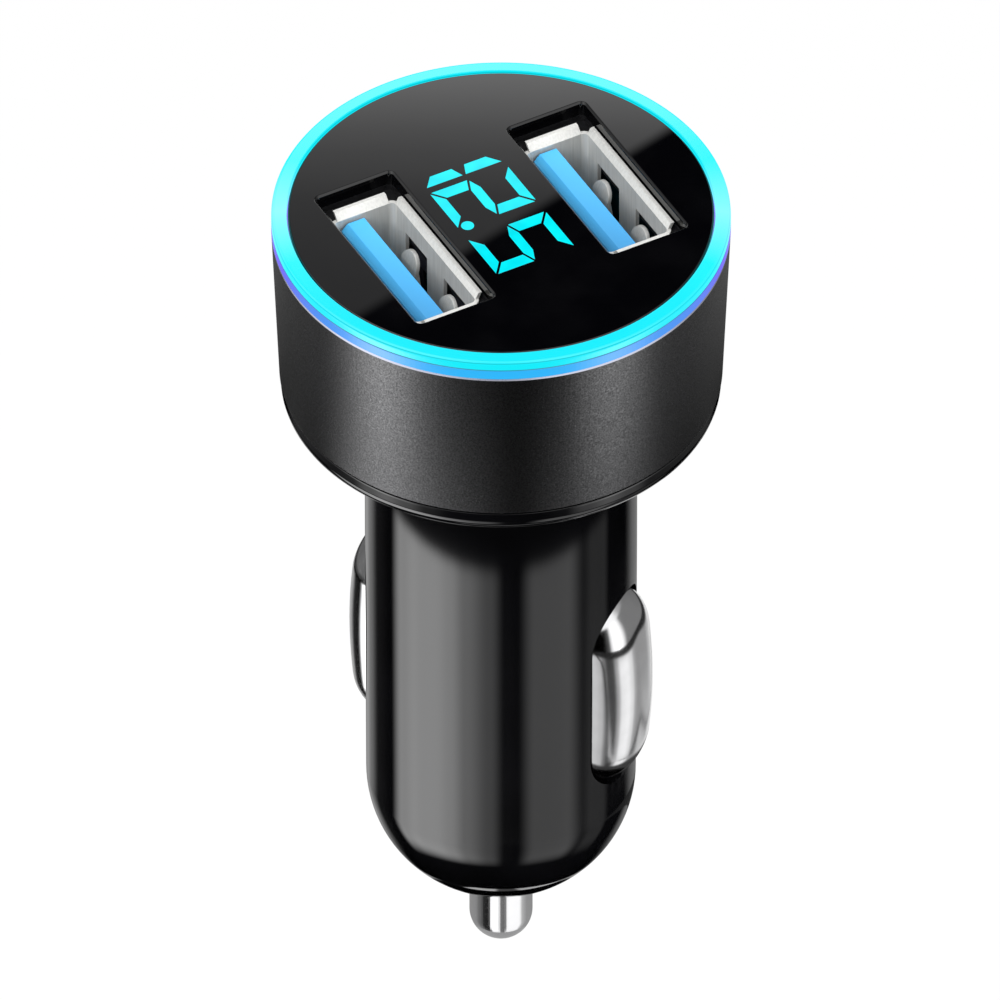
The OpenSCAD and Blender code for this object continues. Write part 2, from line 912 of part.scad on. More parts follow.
module tip_spring() {
    foot = tip_seat_z + tip_flange_t;
    l = main_board_end_z - spring_cup_floor - foot;
    rings = spring_turns * spring_steps;
    points = [
        for (i = [0 : rings], j = [0 : spring_sides - 1])
            let (
                a = 360 * i / spring_steps,
                b = 360 * j / spring_sides,
                r = spring_r + spring_wire_d / 2 * cos(b)
            )
            [r * cos(a), r * sin(a),
                foot + coil_z(i / spring_steps, spring_turns, spring_wire_d, l) + spring_wire_d / 2 * sin(b)]
    ];
    sides = [
        for (i = [0 : rings - 1], j = [0 : spring_sides - 1])
            let (a = i * spring_sides + j, b = i * spring_sides + (j + 1) % spring_sides)
            [a, b, b + spring_sides, a + spring_sides]
    ];
    first = [for (j = [spring_sides - 1 : -1 : 0]) j];
    last = [for (j = [0 : spring_sides - 1]) rings * spring_sides + j];
    color("#b8bcc0")
        polyhedron(points, concat(sides, [first, last]));
}

// Ground contacts

// Half of the section across a rounded capsule
module capsule_section(w, top, edge) {
    square([w / 2 - edge, top]);
    square([w / 2, top - edge]);
    translate([w / 2 - edge, top - edge])
        intersection() {
            circle(edge);
            square(edge);
        }
}

// Capsule that stands on z = 0 with its length along X
module capsule(l, w, top, edge) {
    straight = l - w;
    rotate([90, 0, 90])
        linear_extrude(straight, center = true) {
            capsule_section(w, top, edge);
            mirror([1, 0])
                capsule_section(w, top, edge);
        }
    for (s = [-1, 1])
        translate([s * straight / 2, 0, 0])
            rotate_extrude()
                capsule_section(w, top, edge);
}

// One ground contact, facing +X: a drawn cap with a crowned top, and curved wings that stay inside the barrel
module ground_contact() {
    top = contact_crown - contact_foot;
    thin = 2 * contact_wall;
    color("#c4c6c8")
        difference() {
            union() {
                difference() {
                    intersection() {
                        translate([contact_foot, 0, 0])
                            rotate([0, 90, 0])
                                capsule(contact_l, contact_w, top, contact_edge_r);
                        translate([contact_crown - contact_arch_r, 0, 0])
                            rotate([90, 0, 0])
                                cylinder(r = contact_arch_r, h = 2 * contact_w, center = true, $fn = 360);
                    }
                    cylinder(r = wing_r - wing_t / 2, h = 2 * contact_l, center = true);
                }
                intersection() {
                    difference() {
                        cylinder(r = wing_r, h = contact_l + 2 * wing_out, center = true);
                        cylinder(r = wing_r - wing_t, h = contact_l + 2 * wing_out + 1, center = true);
                    }
                    translate([0, -contact_w / 2 - wing_out, -contact_l])
                        cube([2 * wing_r, contact_w + 2 * wing_out, 2 * contact_l]);
                }
            }
            translate([contact_foot - 1, 0, 0])
                rotate([0, 90, 0])
                    capsule(
                        contact_l - thin, contact_w - thin,
                        top + 1 - crown_wall, contact_edge_r - contact_wall
                    );
        }
}

// Hat-shaped leaf spring between the main board's edge and the inside of a ground contact's crown
module ground_spring() {
    foot = waist_w / 2;
    top = contact_crown - crown_wall - slip;
    color("#b8bcc0")
        rotate([90, 0, 0])
            linear_extrude(leaf_w, center = true)
                polygon([
                    [foot, -leaf_foot - leaf_foot_l], [foot + leaf_t, -leaf_foot - leaf_foot_l],
                    [foot + leaf_t, -leaf_foot], [top, -leaf_top], [top, leaf_top],
                    [foot + leaf_t, leaf_foot], [foot + leaf_t, leaf_foot + leaf_foot_l],
                    [foot, leaf_foot + leaf_foot_l], [foot, leaf_foot - leaf_t],
                    [top - leaf_t, leaf_top - leaf_t], [top - leaf_t, -leaf_top + leaf_t],
                    [foot, -leaf_foot + leaf_t]
                ]);
}

module right_ground_contact() {
    at_contact(0) ground_contact();
}

module left_ground_contact() {
    at_contact(180) ground_contact();
}

module right_ground_spring() {
    at_contact(0) ground_spring();
}

module left_ground_spring() {
    at_contact(180) ground_spring();
}

barrel();
head_sleeve();
light_ring();
face_panel();
port_holder();
display_module();
display_digits();
left_port_shell();
right_port_shell();
left_port_tongue();
right_port_tongue();
left_port_contacts();
right_port_contacts();
port_board();
ring_lamps();
main_board();
header_pins();
choke();
input_capacitor();
output_capacitor();
regulator_chip();
rectifier_diode();
chip_resistors();
spring_cup();
tip_spring();
centre_contact();
left_ground_contact();
right_ground_contact();
left_ground_spring();
right_ground_spring();
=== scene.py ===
# %% [markdown]
# A car charger that plugs into a 12 V accessory socket. The CAD model gives every piece its place and size.
# This notebook dresses it: it turns the round pieces with a fine mesh, finishes every surface with nodes,
# and puts the part in a small studio with the light of the photograph.

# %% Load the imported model
import json
import math

import bmesh
import bpy
from mathutils import Matrix, Vector


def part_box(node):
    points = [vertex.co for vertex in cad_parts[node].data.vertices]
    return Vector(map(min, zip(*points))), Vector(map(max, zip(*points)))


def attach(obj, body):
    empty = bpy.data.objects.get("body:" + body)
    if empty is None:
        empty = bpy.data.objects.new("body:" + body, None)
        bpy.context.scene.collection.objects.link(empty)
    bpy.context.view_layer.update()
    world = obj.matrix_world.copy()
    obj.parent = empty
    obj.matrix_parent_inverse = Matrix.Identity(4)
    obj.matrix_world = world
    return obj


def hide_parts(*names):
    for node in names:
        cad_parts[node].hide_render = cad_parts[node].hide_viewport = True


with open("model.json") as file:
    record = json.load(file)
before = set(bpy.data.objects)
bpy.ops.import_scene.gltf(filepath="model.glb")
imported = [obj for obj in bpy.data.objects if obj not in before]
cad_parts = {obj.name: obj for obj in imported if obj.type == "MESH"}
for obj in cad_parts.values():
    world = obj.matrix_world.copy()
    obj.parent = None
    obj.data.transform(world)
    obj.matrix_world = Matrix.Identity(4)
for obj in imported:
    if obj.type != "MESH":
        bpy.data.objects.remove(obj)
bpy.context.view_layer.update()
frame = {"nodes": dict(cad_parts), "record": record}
MM = 0.001
print("pieces in the packed model:", len(frame["nodes"]))

# %% [markdown]
# Colours are written as the hex values that a colour picker gives. Blender works in linear light, so one
# function turns a hex value to linear. Node trees could be drawn by hand in the editor, but a script shows
# every setting and can be run again, so one small function adds any node with its settings and links.


# %% Colour and node helpers
def srgb(code):
    """Opaque linear colour of a hex value such as "2d2d30"."""
    channels = [int(code[i:i + 2], 16) / 255 for i in (0, 2, 4)]
    linear = [c / 12.92 if c <= 0.04045 else ((c + 0.055) / 1.055) ** 2.4 for c in channels]
    return (*linear, 1)


def add(tree, kind, inputs=None, stops=None, **settings):
    """Adds a node, sets its properties, then sets or links its inputs, which are given by name or number.

    A colour ramp takes its stops as pairs of position and colour, and its settings are those of the ramp.
    """
    node = tree.nodes.new(kind)
    for name, value in settings.items():
        setattr(node.color_ramp if stops else node, name, value)
    for socket, value in (inputs or {}).items():
        if isinstance(value, bpy.types.NodeSocket):
            tree.links.new(value, node.inputs[socket])
        else:
            node.inputs[socket].default_value = value
    if stops:
        elements = node.color_ramp.elements
        while len(elements) < len(stops):
            elements.new(1)
        for element, (position, colour) in zip(elements, stops):
            element.position = position
            element.color = colour
    return node


def per_mm(size):
    """Scale of a texture whose features are this many millimetres across, on coordinates in metres."""
    return 1 / (size * MM)


def new_material(name, **shader):
    """A material with one Principled shader, whose single-valued inputs are given by name."""
    made = bpy.data.materials.new(name)
    made.use_nodes = True
    principled = made.node_tree.nodes["Principled BSDF"]
    for socket, value in shader.items():
        principled.inputs[socket.replace("_", " ")].default_value = value
    return made, made.node_tree, principled


def link(tree, principled, **outputs):
    """Links node outputs to the shader's inputs, which are given by name."""
    for socket, output in outputs.items():
        tree.links.new(output, principled.inputs[socket.replace("_", " ")])


def grey(level):
    """Opaque colour whose three channels have one linear level."""
    return (level, level, level, 1)


# %% [markdown]
# Round pieces are turned, as on a lathe: an outline in radius and height goes once round the axis. The CAD
# mesh has flats a few degrees wide, which a glossy finish shows, so the round pieces that are seen are made
# again here in the same sizes, with a finer step. The outline is a list of corners, each with its own fillet,
# because a real edge is never sharp and its highlight is what shows the shape. Smooth shading would spread
# the turn of a fillet over the whole wall next to it, so a long side gets a point close to each end.


# %% Outlines with rounded corners
def rounded(corners, step=math.radians(12)):
    """Points of a closed outline with arcs as fillets, from corners of (radius, height, fillet) in mm."""
    points = []
    count = len(corners)
    for i, (r, z, fillet) in enumerate(corners):
        here = Vector((r, z))
        before = Vector(corners[i - 1][:2]) - here
        after = Vector(corners[(i + 1) % count][:2]) - here
        if fillet == 0:
            points.append(here)
            continue
        half = before.angle(after) / 2
        centre = here + (before.normalized() + after.normalized()).normalized() * fillet / math.sin(half)
        first = here + before.normalized() * fillet / math.tan(half) - centre
        turn = first.angle_signed(here + after.normalized() * fillet / math.tan(half) - centre)
        steps = max(2, round(abs(turn) / step))
        for k in range(steps + 1):
            angle = -turn * k / steps
            points.append(centre + Matrix.Rotation(angle, 2) @ first)
    return supported(points)


def supported(points, long_side=0.5, margin=0.08):
    """The closed outline with two more points on each long side, close to its ends."""
    held = []
    for i, end in enumerate(points):
        start = points[i - 1]
        side = end - start
        if side.length > long_side:
            held.append(start + side.normalized() * margin)
            held.append(end - side.normalized() * margin)
        held.append(end)
    return held


def arc(centre, radius, start, end, steps):
    """Corners along an arc from angle start to angle end, in degrees from the +r direction."""
    angles = [math.radians(start + (end - start) * k / steps) for k in range(steps + 1)]
    return [(centre[0] + radius * math.cos(a), centre[1] + radius * math.sin(a), 0) for a in angles]


# %% [markdown]
# The lathe is a Geometry Nodes tree. Spin in Edit Mode would turn an outline once, but a tree turns any
# outline and shows its sizes as inputs. It makes a grid with one row for each point of the outline and one
# column for each step round the axis, and moves each vertex to its place. The seam and the points on the
# axis close when vertices that lie together are merged, and edges sharper than a limit keep a crisp line.

# %% The lathe
SAME_PLACE = 1e-7
LATHE = bpy.data.node_groups.new("lathe", "GeometryNodeTree")
LATHE.interface.new_socket("Outline", in_out="INPUT", socket_type="NodeSocketGeometry")
SEGMENTS_ID = LATHE.interface.new_socket("Segments", in_out="INPUT", socket_type="NodeSocketInt").identifier
CRISP_ID = LATHE.interface.new_socket("Crisp angle", in_out="INPUT", socket_type="NodeSocketFloat").identifier
FINISH_ID = LATHE.interface.new_socket("Finish", in_out="INPUT", socket_type="NodeSocketMaterial").identifier
LATHE.interface.new_socket("Turned", in_out="OUTPUT", socket_type="NodeSocketGeometry")


def fill_lathe(tree):
    given = add(tree, "NodeGroupInput").outputs
    size = add(tree, "GeometryNodeAttributeDomainSize", {"Geometry": given["Outline"]})
    columns = add(tree, "ShaderNodeMath", {0: given["Segments"], 1: 1.0}, operation="ADD").outputs[0]
    rows = size.outputs["Point Count"]
    grid = add(tree, "GeometryNodeMeshGrid", {"Vertices X": rows, "Vertices Y": columns})
    index = add(tree, "GeometryNodeInputIndex").outputs[0]
    share = add(tree, "ShaderNodeMath", {0: index, 1: columns}, operation="DIVIDE").outputs[0]
    row = add(tree, "ShaderNodeMath", {0: share}, operation="FLOOR").outputs[0]
    column = add(tree, "ShaderNodeMath", {0: index, 1: columns}, operation="MODULO").outputs[0]
    place = add(tree, "GeometryNodeInputPosition").outputs[0]
    point = add(
        tree, "GeometryNodeSampleIndex",
        {"Geometry": given["Outline"], "Value": place, "Index": row}, data_type="FLOAT_VECTOR",
    )
    part = add(tree, "ShaderNodeSeparateXYZ", {0: point.outputs["Value"]}).outputs
    turn = add(tree, "ShaderNodeMath", {0: column, 1: math.tau}, operation="MULTIPLY").outputs[0]
    angle = add(tree, "ShaderNodeMath", {0: turn, 1: given["Segments"]}, operation="DIVIDE").outputs[0]
    along = add(tree, "ShaderNodeMath", {0: angle}, operation="COSINE").outputs[0]
    across = add(tree, "ShaderNodeMath", {0: angle}, operation="SINE").outputs[0]
    x = add(tree, "ShaderNodeMath", {0: part["X"], 1: along}, operation="MULTIPLY").outputs[0]
    y = add(tree, "ShaderNodeMath", {0: part["X"], 1: across}, operation="MULTIPLY").outputs[0]
    moved = add(tree, "ShaderNodeCombineXYZ", {"X": x, "Y": y, "Z": part["Z"]}).outputs[0]
    turned = add(tree, "GeometryNodeSetPosition", {"Geometry": grid.outputs["Mesh"], "Position": moved})
    closed = add(tree, "GeometryNodeMergeByDistance", {"Geometry": turned.outputs[0], "Distance": SAME_PLACE})
    bend = add(tree, "GeometryNodeInputMeshEdgeAngle").outputs["Unsigned Angle"]
    crisp = add(tree, "FunctionNodeCompare", {0: bend, 1: given["Crisp angle"]}, operation="GREATER_THAN")
    shaded = add(
        tree, "GeometryNodeSetShadeSmooth",
        {"Geometry": closed.outputs[0], "Selection": crisp.outputs[0], "Shade Smooth": False}, domain="EDGE",
    )
    real = add(tree, "GeometryNodeRealizeInstances", {"Geometry": shaded.outputs[0]})
    done = add(tree, "GeometryNodeSetMaterial", {"Geometry": real.outputs[0], "Material": given["Finish"]})
    add(tree, "NodeGroupOutput", {"Turned": done.outputs[0]})


fill_lathe(LATHE)
print("lathe nodes:", len(LATHE.nodes))


# %% Turning a piece
CRISP_EDGE = math.radians(35)


def new_object(name, mesh):
    made = bpy.data.objects.new(name, mesh)
    bpy.context.scene.collection.objects.link(made)
    return made


def baked(name, source):
    """A plain object with the evaluated mesh of source, which is removed."""
    bpy.context.view_layer.update()
    graph = bpy.context.evaluated_depsgraph_get()
    mesh = bpy.data.meshes.new_from_object(source.evaluated_get(graph))
    mesh.name = name
    bpy.data.objects.remove(source)
    return new_object(name, mesh)


def turned(name, points, finish, segments=192):
    """Turns a closed outline of points in millimetres round the Z axis."""
    count = len(points)
    area = sum(points[i - 1][0] * points[i][1] - points[i][0] * points[i - 1][1] for i in range(count))
    ordered = points if area < 0 else list(reversed(points))
    loop = ordered + ordered[:1]
    mesh = bpy.data.meshes.new(name + "_outline")
    mesh.from_pydata([(p[0] * MM, 0, p[1] * MM) for p in loop], [(i, i + 1) for i in range(count)], [])
    outline = new_object(name + "_outline", mesh)
    modifier = outline.modifiers.new("lathe", "NODES")
    modifier.node_group = LATHE
    modifier[SEGMENTS_ID] = segments
    modifier[CRISP_ID] = CRISP_EDGE
    modifier[FINISH_ID] = finish
    made = baked(name, outline)
    print(name, "turned with", len(made.data.polygons), "faces")
    return made


# %% [markdown]
# A piece takes its finish when it is turned, so the finishes come first. The barrel is ABS from a polished
# mould. It is nearly black and as smooth as glass, with a faint waviness from the mould's polish that only
# bends the edges of the reflections. An image could give such a finish, but noise on the piece's own
# coordinates has no seam and keeps its real size in millimetres.


# %% Finishes of the mouldings
def polished_abs():
    made, tree, principled = new_material("polished_black_abs", IOR=1.5, Roughness=0.05)
    place = add(tree, "ShaderNodeTexCoord").outputs["Object"]
    tint = add(
        tree, "ShaderNodeTexNoise", {"Vector": place, "Scale": per_mm(9), "Detail": 2.0}
    ).outputs["Fac"]
    colour = add(
        tree, "ShaderNodeValToRGB", {"Fac": tint}, stops=[(0.35, srgb("050506")), (0.7, srgb("0a0a0c"))]
    ).outputs["Color"]
    wave = add(
        tree, "ShaderNodeTexNoise", {"Vector": place, "Scale": per_mm(2.5), "Detail": 1.0}
    ).outputs["Fac"]
    bump = add(tree, "ShaderNodeBump", {"Height": wave, "Strength": 0.2, "Distance": 0.002 * MM}).outputs[0]
    link(tree, principled, Base_Color=colour, Normal=bump)
    return made


def piano_black():
    """Hard-coated acrylic panel, black behind a surface that is flat like window glass."""
    made, tree, principled = new_material("hard_coated_acrylic", IOR=1.5, Roughness=0.02)
    place = add(tree, "ShaderNodeTexCoord").outputs["Object"]
    dust = add(
        tree, "ShaderNodeTexNoise", {"Vector": place, "Scale": per_mm(4), "Detail": 3.0}
    ).outputs["Fac"]
    colour = add(
        tree, "ShaderNodeValToRGB", {"Fac": dust}, stops=[(0.4, srgb("020203")), (0.8, srgb("050506"))]
    ).outputs["Color"]
    link(tree, principled, Base_Color=colour)
    return made


def satin_abs(name, dark, light, roughness=0.42):
    """Moulding from an eroded tool: an even satin with a grain of two tenths of a millimetre."""
    made, tree, principled = new_material(name, IOR=1.5, Roughness=roughness)
    place = add(tree, "ShaderNodeTexCoord").outputs["Object"]
    grain = add(
        tree, "ShaderNodeTexNoise", {"Vector": place, "Scale": per_mm(0.2), "Detail": 2.0}
    ).outputs["Fac"]
    bump = add(tree, "ShaderNodeBump", {"Height": grain, "Strength": 0.3, "Distance": 0.01 * MM}).outputs[0]
    colour = add(
        tree, "ShaderNodeValToRGB", {"Fac": grain}, stops=[(0.3, srgb(dark)), (0.7, srgb(light))]
    ).outputs["Color"]
    link(tree, principled, Base_Color=colour, Normal=bump)
    return made


# %% [markdown]
# The sleeve is aluminium that was blasted with fine grit and then anodised dark grey. Blasting leaves pits
# of about a tenth of a millimetre, which scatter the light into a sparkle, so the grain is in the bump, in
# the roughness and a little in the colour. Its bevel at the top edge has a paler metal colour.


# %% Finish of the sleeve
def blasted_aluminium(bright_from):
    made, tree, principled = new_material("blasted_anodised_aluminium", Metallic=1.0)
    place = add(tree, "ShaderNodeTexCoord").outputs["Object"]
    pits = add(
        tree, "ShaderNodeTexNoise", {"Vector": place, "Scale": per_mm(0.12), "Detail": 1.0}
    ).outputs["Fac"]
    colour = add(
        tree, "ShaderNodeValToRGB", {"Fac": pits}, stops=[(0.3, srgb("3c3c3d")), (0.7, srgb("606061"))]
    ).outputs["Color"]
    rough = add(
        tree, "ShaderNodeValToRGB", {"Fac": pits}, stops=[(0.3, grey(0.33)), (0.7, grey(0.27))]
    ).outputs["Color"]
    height = add(tree, "ShaderNodeSeparateXYZ", {0: place}).outputs["Z"]
    # From the bevel up the colour is a paler metal.
    pale_bevel = add(
        tree, "ShaderNodeMapRange",
        {"Value": height, "From Min": (bright_from - 0.02) * MM, "From Max": (bright_from + 0.02) * MM},
    ).outputs[0]
    mixed = add(
        tree, "ShaderNodeMix", {"Factor": pale_bevel, 6: colour, 7: srgb("b4b6c4")}, data_type="RGBA"
    ).outputs[2]
    bump = add(tree, "ShaderNodeBump", {"Height": pits, "Strength": 0.35, "Distance": 0.008 * MM}).outputs[0]
    link(tree, principled, Base_Color=mixed, Roughness=rough, Normal=bump)
    return made


# %% [markdown]
# The light ring is clear polycarbonate with a white filler, lit from below by coloured lamps. What it gives
# off is flat and even. Lamps inside it would take long to render, so it is mostly emission: cyan on top,
# deepest at its front and back. It is paler at its sides, a painted highlight that follows the view, and
# its groove and its seam have painted shade. Below the seam it is blue at front and back and violet at its
# sides, and its base colour is a little darker at front and back.


# %% Finish of the light ring
# The camera's turn round the part, from its -Y side. The front of the ring is the side that faces it.
VIEW_TURN = math.radians(-28.8)
FRONT = VIEW_TURN - math.pi / 2


def lit_polycarbonate_painted_light(seam_z, groove_z, line_w, open_r):
    """Glows outside the radius open_r. Painted shade darkens lines as high as line_w at the seam and groove.
    """
    made, tree, principled = new_material("lit_polycarbonate_painted_light", IOR=1.58, Roughness=0.25)
    place = add(tree, "ShaderNodeTexCoord").outputs["Object"]
    height = add(tree, "ShaderNodeSeparateXYZ", {0: place}).outputs["Z"]
    flat = add(tree, "ShaderNodeVectorMath", {0: place, 1: (1, 1, 0)}, operation="MULTIPLY").outputs[0]
    radius = add(tree, "ShaderNodeVectorMath", {0: flat}, operation="LENGTH").outputs["Value"]
    front = (math.cos(FRONT), math.sin(FRONT), 0)
    forward = add(tree, "ShaderNodeVectorMath", {0: flat, 1: front}, operation="DOT_PRODUCT").outputs["Value"]
    share = add(tree, "ShaderNodeMath", {0: forward, 1: radius}, operation="DIVIDE").outputs[0]
    facing = add(tree, "ShaderNodeMath", {0: share}, operation="ABSOLUTE").outputs[0]
    # Paler at the sides than at front and back: a painted highlight.
    top = add(tree, "ShaderNodeValToRGB", {"Fac": facing}, stops=[
        (0.0, srgb("8af7ff")), (0.35, srgb("18f2fd")), (0.6, srgb("0eebfa")), (1.0, srgb("08e9f6")),
    ]).outputs["Color"]
    # Below the seam, violet at the sides and blue at front and back.
    band = add(tree, "ShaderNodeValToRGB", {"Fac": facing}, stops=[
        (0.0, srgb("8a7cf0")), (0.3, srgb("6a55ee")), (0.62, srgb("4888ec")), (0.85, srgb("3a9af0")),
        (1.0, srgb("2cb2f6")),
    ]).outputs["Color"]
    below = add(
        tree, "ShaderNodeMapRange",
        {"Value": height, "From Min": (seam_z + 0.04) * MM, "From Max": (seam_z - 0.04) * MM},
    ).outputs[0]
    lit = add(tree, "ShaderNodeMix", {"Factor": below, 6: top, 7: band}, data_type="RGBA").outputs[2]
    # Painted shade: the glow is darker in the seam notch and in the groove.
    for line_z, painted_shade_level in ((seam_z, 0.25), (groove_z, 0.6)):
        off = add(tree, "ShaderNodeMath", {0: height, 1: line_z * MM}, operation="SUBTRACT").outputs[0]
        away = add(tree, "ShaderNodeMath", {0: off}, operation="ABSOLUTE").outputs[0]
        near = add(
            tree, "ShaderNodeMapRange",
            {"Value": away, "From Min": 0.3 * line_w * MM, "From Max": line_w * MM, "To Min": painted_shade_level},
        ).outputs[0]
        lit = add(
            tree, "ShaderNodeMix", {"Factor": 1.0, 6: lit, 7: near}, data_type="RGBA", blend_type="MULTIPLY"
        ).outputs[2]
    strength = add(
        tree, "ShaderNodeMapRange",
        {"Value": radius, "From Min": (open_r - 0.2) * MM, "From Max": (open_r - 0.05) * MM},
    ).outputs[0]
    body = add(
        tree, "ShaderNodeValToRGB", {"Fac": facing}, stops=[(0.0, srgb("0a3038")), (1.0, srgb("062a32"))]
    ).outputs["Color"]
    link(tree, principled, Emission_Color=lit, Emission_Strength=strength, Base_Color=body)
    return made


def lit_digits():
    """Clear light guides flush with the panel, which glow a little unevenly."""
    made, tree, principled = new_material("lit_light_guide", IOR=1.5, Roughness=0.05, Emission_Strength=1.0)
    place = add(tree, "ShaderNodeTexCoord").outputs["Object"]
    cloud = add(
        tree, "ShaderNodeTexNoise", {"Vector": place, "Scale": per_mm(1.5), "Detail": 1.0}
    ).outputs["Fac"]
    glow = add(
        tree, "ShaderNodeValToRGB", {"Fac": cloud}, stops=[(0.3, srgb("00e2ee")), (0.65, srgb("06f4fd"))]
    ).outputs["Color"]
    principled.inputs["Base Color"].default_value = srgb("022a2e")
    link(tree, principled, Emission_Color=glow)
    return made


# %% [markdown]
# The contacts are brass with a satin nickel plate. Nickel is a warm white metal, and barrel plating leaves
# fine scratches in all directions, so the roughness changes a little from place to place. A single scratch
# is too fine to show here, so the noise is drawn as coarse as it needs to show.


# %% Finishes of the metals
def plated(name, dark, light, roughness, grain_mm, bump_mm=0.004):
    made, tree, principled = new_material(name, Metallic=1.0)
    place = add(tree, "ShaderNodeTexCoord").outputs["Object"]
    cloud = add(
        tree, "ShaderNodeTexNoise", {"Vector": place, "Scale": per_mm(grain_mm), "Detail": 4.0}
    ).outputs["Fac"]
    colour = add(
        tree, "ShaderNodeValToRGB", {"Fac": cloud}, stops=[(0.3, srgb(dark)), (0.7, srgb(light))]
    ).outputs["Color"]
    rough = add(
        tree, "ShaderNodeValToRGB", {"Fac": cloud},
        stops=[(0.3, grey(roughness * 1.08)), (0.7, grey(roughness * 0.94))],
    ).outputs["Color"]
    bump = add(
        tree, "ShaderNodeBump", {"Height": cloud, "Strength": 0.3, "Distance": bump_mm * MM}
    ).outputs[0]
    link(tree, principled, Base_Color=colour, Roughness=rough, Normal=bump)
    return made


def rolled_steel():
    """Sheet with a matt tin plate. Rolling leaves fine lines along the strip, which runs up the shells.

    The plate is so matt that it looks half like paint, so it is less metallic than bare steel.
    """
    made, tree, principled = new_material("matt_tin_plated_steel", Metallic=0.4, Roughness=0.42)
    place = add(tree, "ShaderNodeTexCoord").outputs["Object"]
    drawn = add(tree, "ShaderNodeMapping", {"Vector": place, "Scale": (1, 1, 0.05)}).outputs[0]
    lines = add(
        tree, "ShaderNodeTexNoise", {"Vector": drawn, "Scale": per_mm(0.15), "Detail": 2.0}
    ).outputs["Fac"]
    colour = add(
        tree, "ShaderNodeValToRGB", {"Fac": lines}, stops=[(0.3, srgb("bdbdba")), (0.7, srgb("cbcbc8"))]
    ).outputs["Color"]
    bump = add(tree, "ShaderNodeBump", {"Height": lines, "Strength": 0.2, "Distance": 0.006 * MM}).outputs[0]
    link(tree, principled, Base_Color=colour, Normal=bump)
    return made


# %% [markdown]
# The tongues of the ports are PBT, dyed blue in the mass, and the chip lamps are ceramic. Both are coloured
# all the way through and a little uneven. A tongue is also paler towards one end, which is painted light: a
# colour ramp along it stands in for the light that falls more on that end.


# %% Finishes of the tongues and the lamps
def lamp_ceramic():
    """White fired ceramic of the chip lamps, mottled a little yellow by the phosphor on them."""
    made, tree, principled = new_material("lamp_ceramic", IOR=1.5, Roughness=0.35)
    place = add(tree, "ShaderNodeTexCoord").outputs["Object"]
    mottle = add(
        tree, "ShaderNodeTexNoise", {"Vector": place, "Scale": per_mm(0.8), "Detail": 3.0}
    ).outputs["Fac"]
    colour = add(
        tree, "ShaderNodeValToRGB", {"Fac": mottle}, stops=[(0.3, srgb("e6dfb8")), (0.7, srgb("f4f2e6"))]
    ).outputs["Color"]
    bump = add(tree, "ShaderNodeBump", {"Height": mottle, "Strength": 0.15, "Distance": 0.01 * MM}).outputs[0]
    link(tree, principled, Base_Color=colour, Normal=bump)
    return made


def tongue_plastic_painted_light(near, far, half_l):
    """Dyed PBT with painted light, a colour going from near to far along the tongue, whose half length is in
    mm.
    """
    made, tree, principled = new_material("blue_dyed_pbt_painted_light", IOR=1.5, Roughness=0.36)
    place = add(tree, "ShaderNodeTexCoord").outputs["Object"]
    along = add(tree, "ShaderNodeSeparateXYZ", {0: place}).outputs["Y"]
    # Painted light: the colour ramps from the near colour to the paler far one along the tongue's Y axis.
    share = add(
        tree, "ShaderNodeMapRange", {"Value": along, "From Min": -half_l * MM, "From Max": half_l * MM}
    ).outputs[0]
    mottle = add(
        tree, "ShaderNodeTexNoise", {"Vector": place, "Scale": per_mm(0.6), "Detail": 3.0}
    ).outputs["Fac"]
    mixed = add(tree, "ShaderNodeMath", {0: mottle, 1: 0.08, 2: share}, operation="MULTIPLY_ADD").outputs[0]
    colour = add(
        tree, "ShaderNodeValToRGB", {"Fac": mixed}, stops=[(0.04, srgb(near)), (1.04, srgb(far))]
    ).outputs["Color"]
    bump = add(tree, "ShaderNodeBump", {"Height": mottle, "Strength": 0.1, "Distance": 0.006 * MM}).outputs[0]
    link(tree, principled, Base_Color=colour, Normal=bump)
    return made


# %% [markdown]
# Inside, the boards have a green solder mask over copper tracks. The tracks show as slightly raised, lighter
# lines, which a brick pattern gives well enough for boards that stay in the dark.


# %% Finishes of the inner pieces
CHOKE_Z = -8.5
WINDING_HALF = 3.7
WIRE_PITCH = 0.35


def solder_mask():
    made, tree, principled = new_material("green_solder_mask", IOR=1.5, Roughness=0.28)
    place = add(tree, "ShaderNodeTexCoord").outputs["Object"]
    tracks = add(
        tree, "ShaderNodeTexBrick",
        {
            "Vector": place, "Scale": per_mm(1), "Color1": srgb("0f4a2a"), "Color2": srgb("14532d"),
            "Mortar": srgb("2c7a45"), "Mortar Size": 0.06, "Brick Width": 2.4, "Row Height": 0.8,
        },
    )
    bump = add(
        tree, "ShaderNodeBump", {"Height": tracks.outputs["Fac"], "Strength": 0.4, "Distance": 0.035 * MM}
    ).outputs[0]
    link(tree, principled, Base_Color=tracks.outputs["Color"], Normal=bump)
    return made


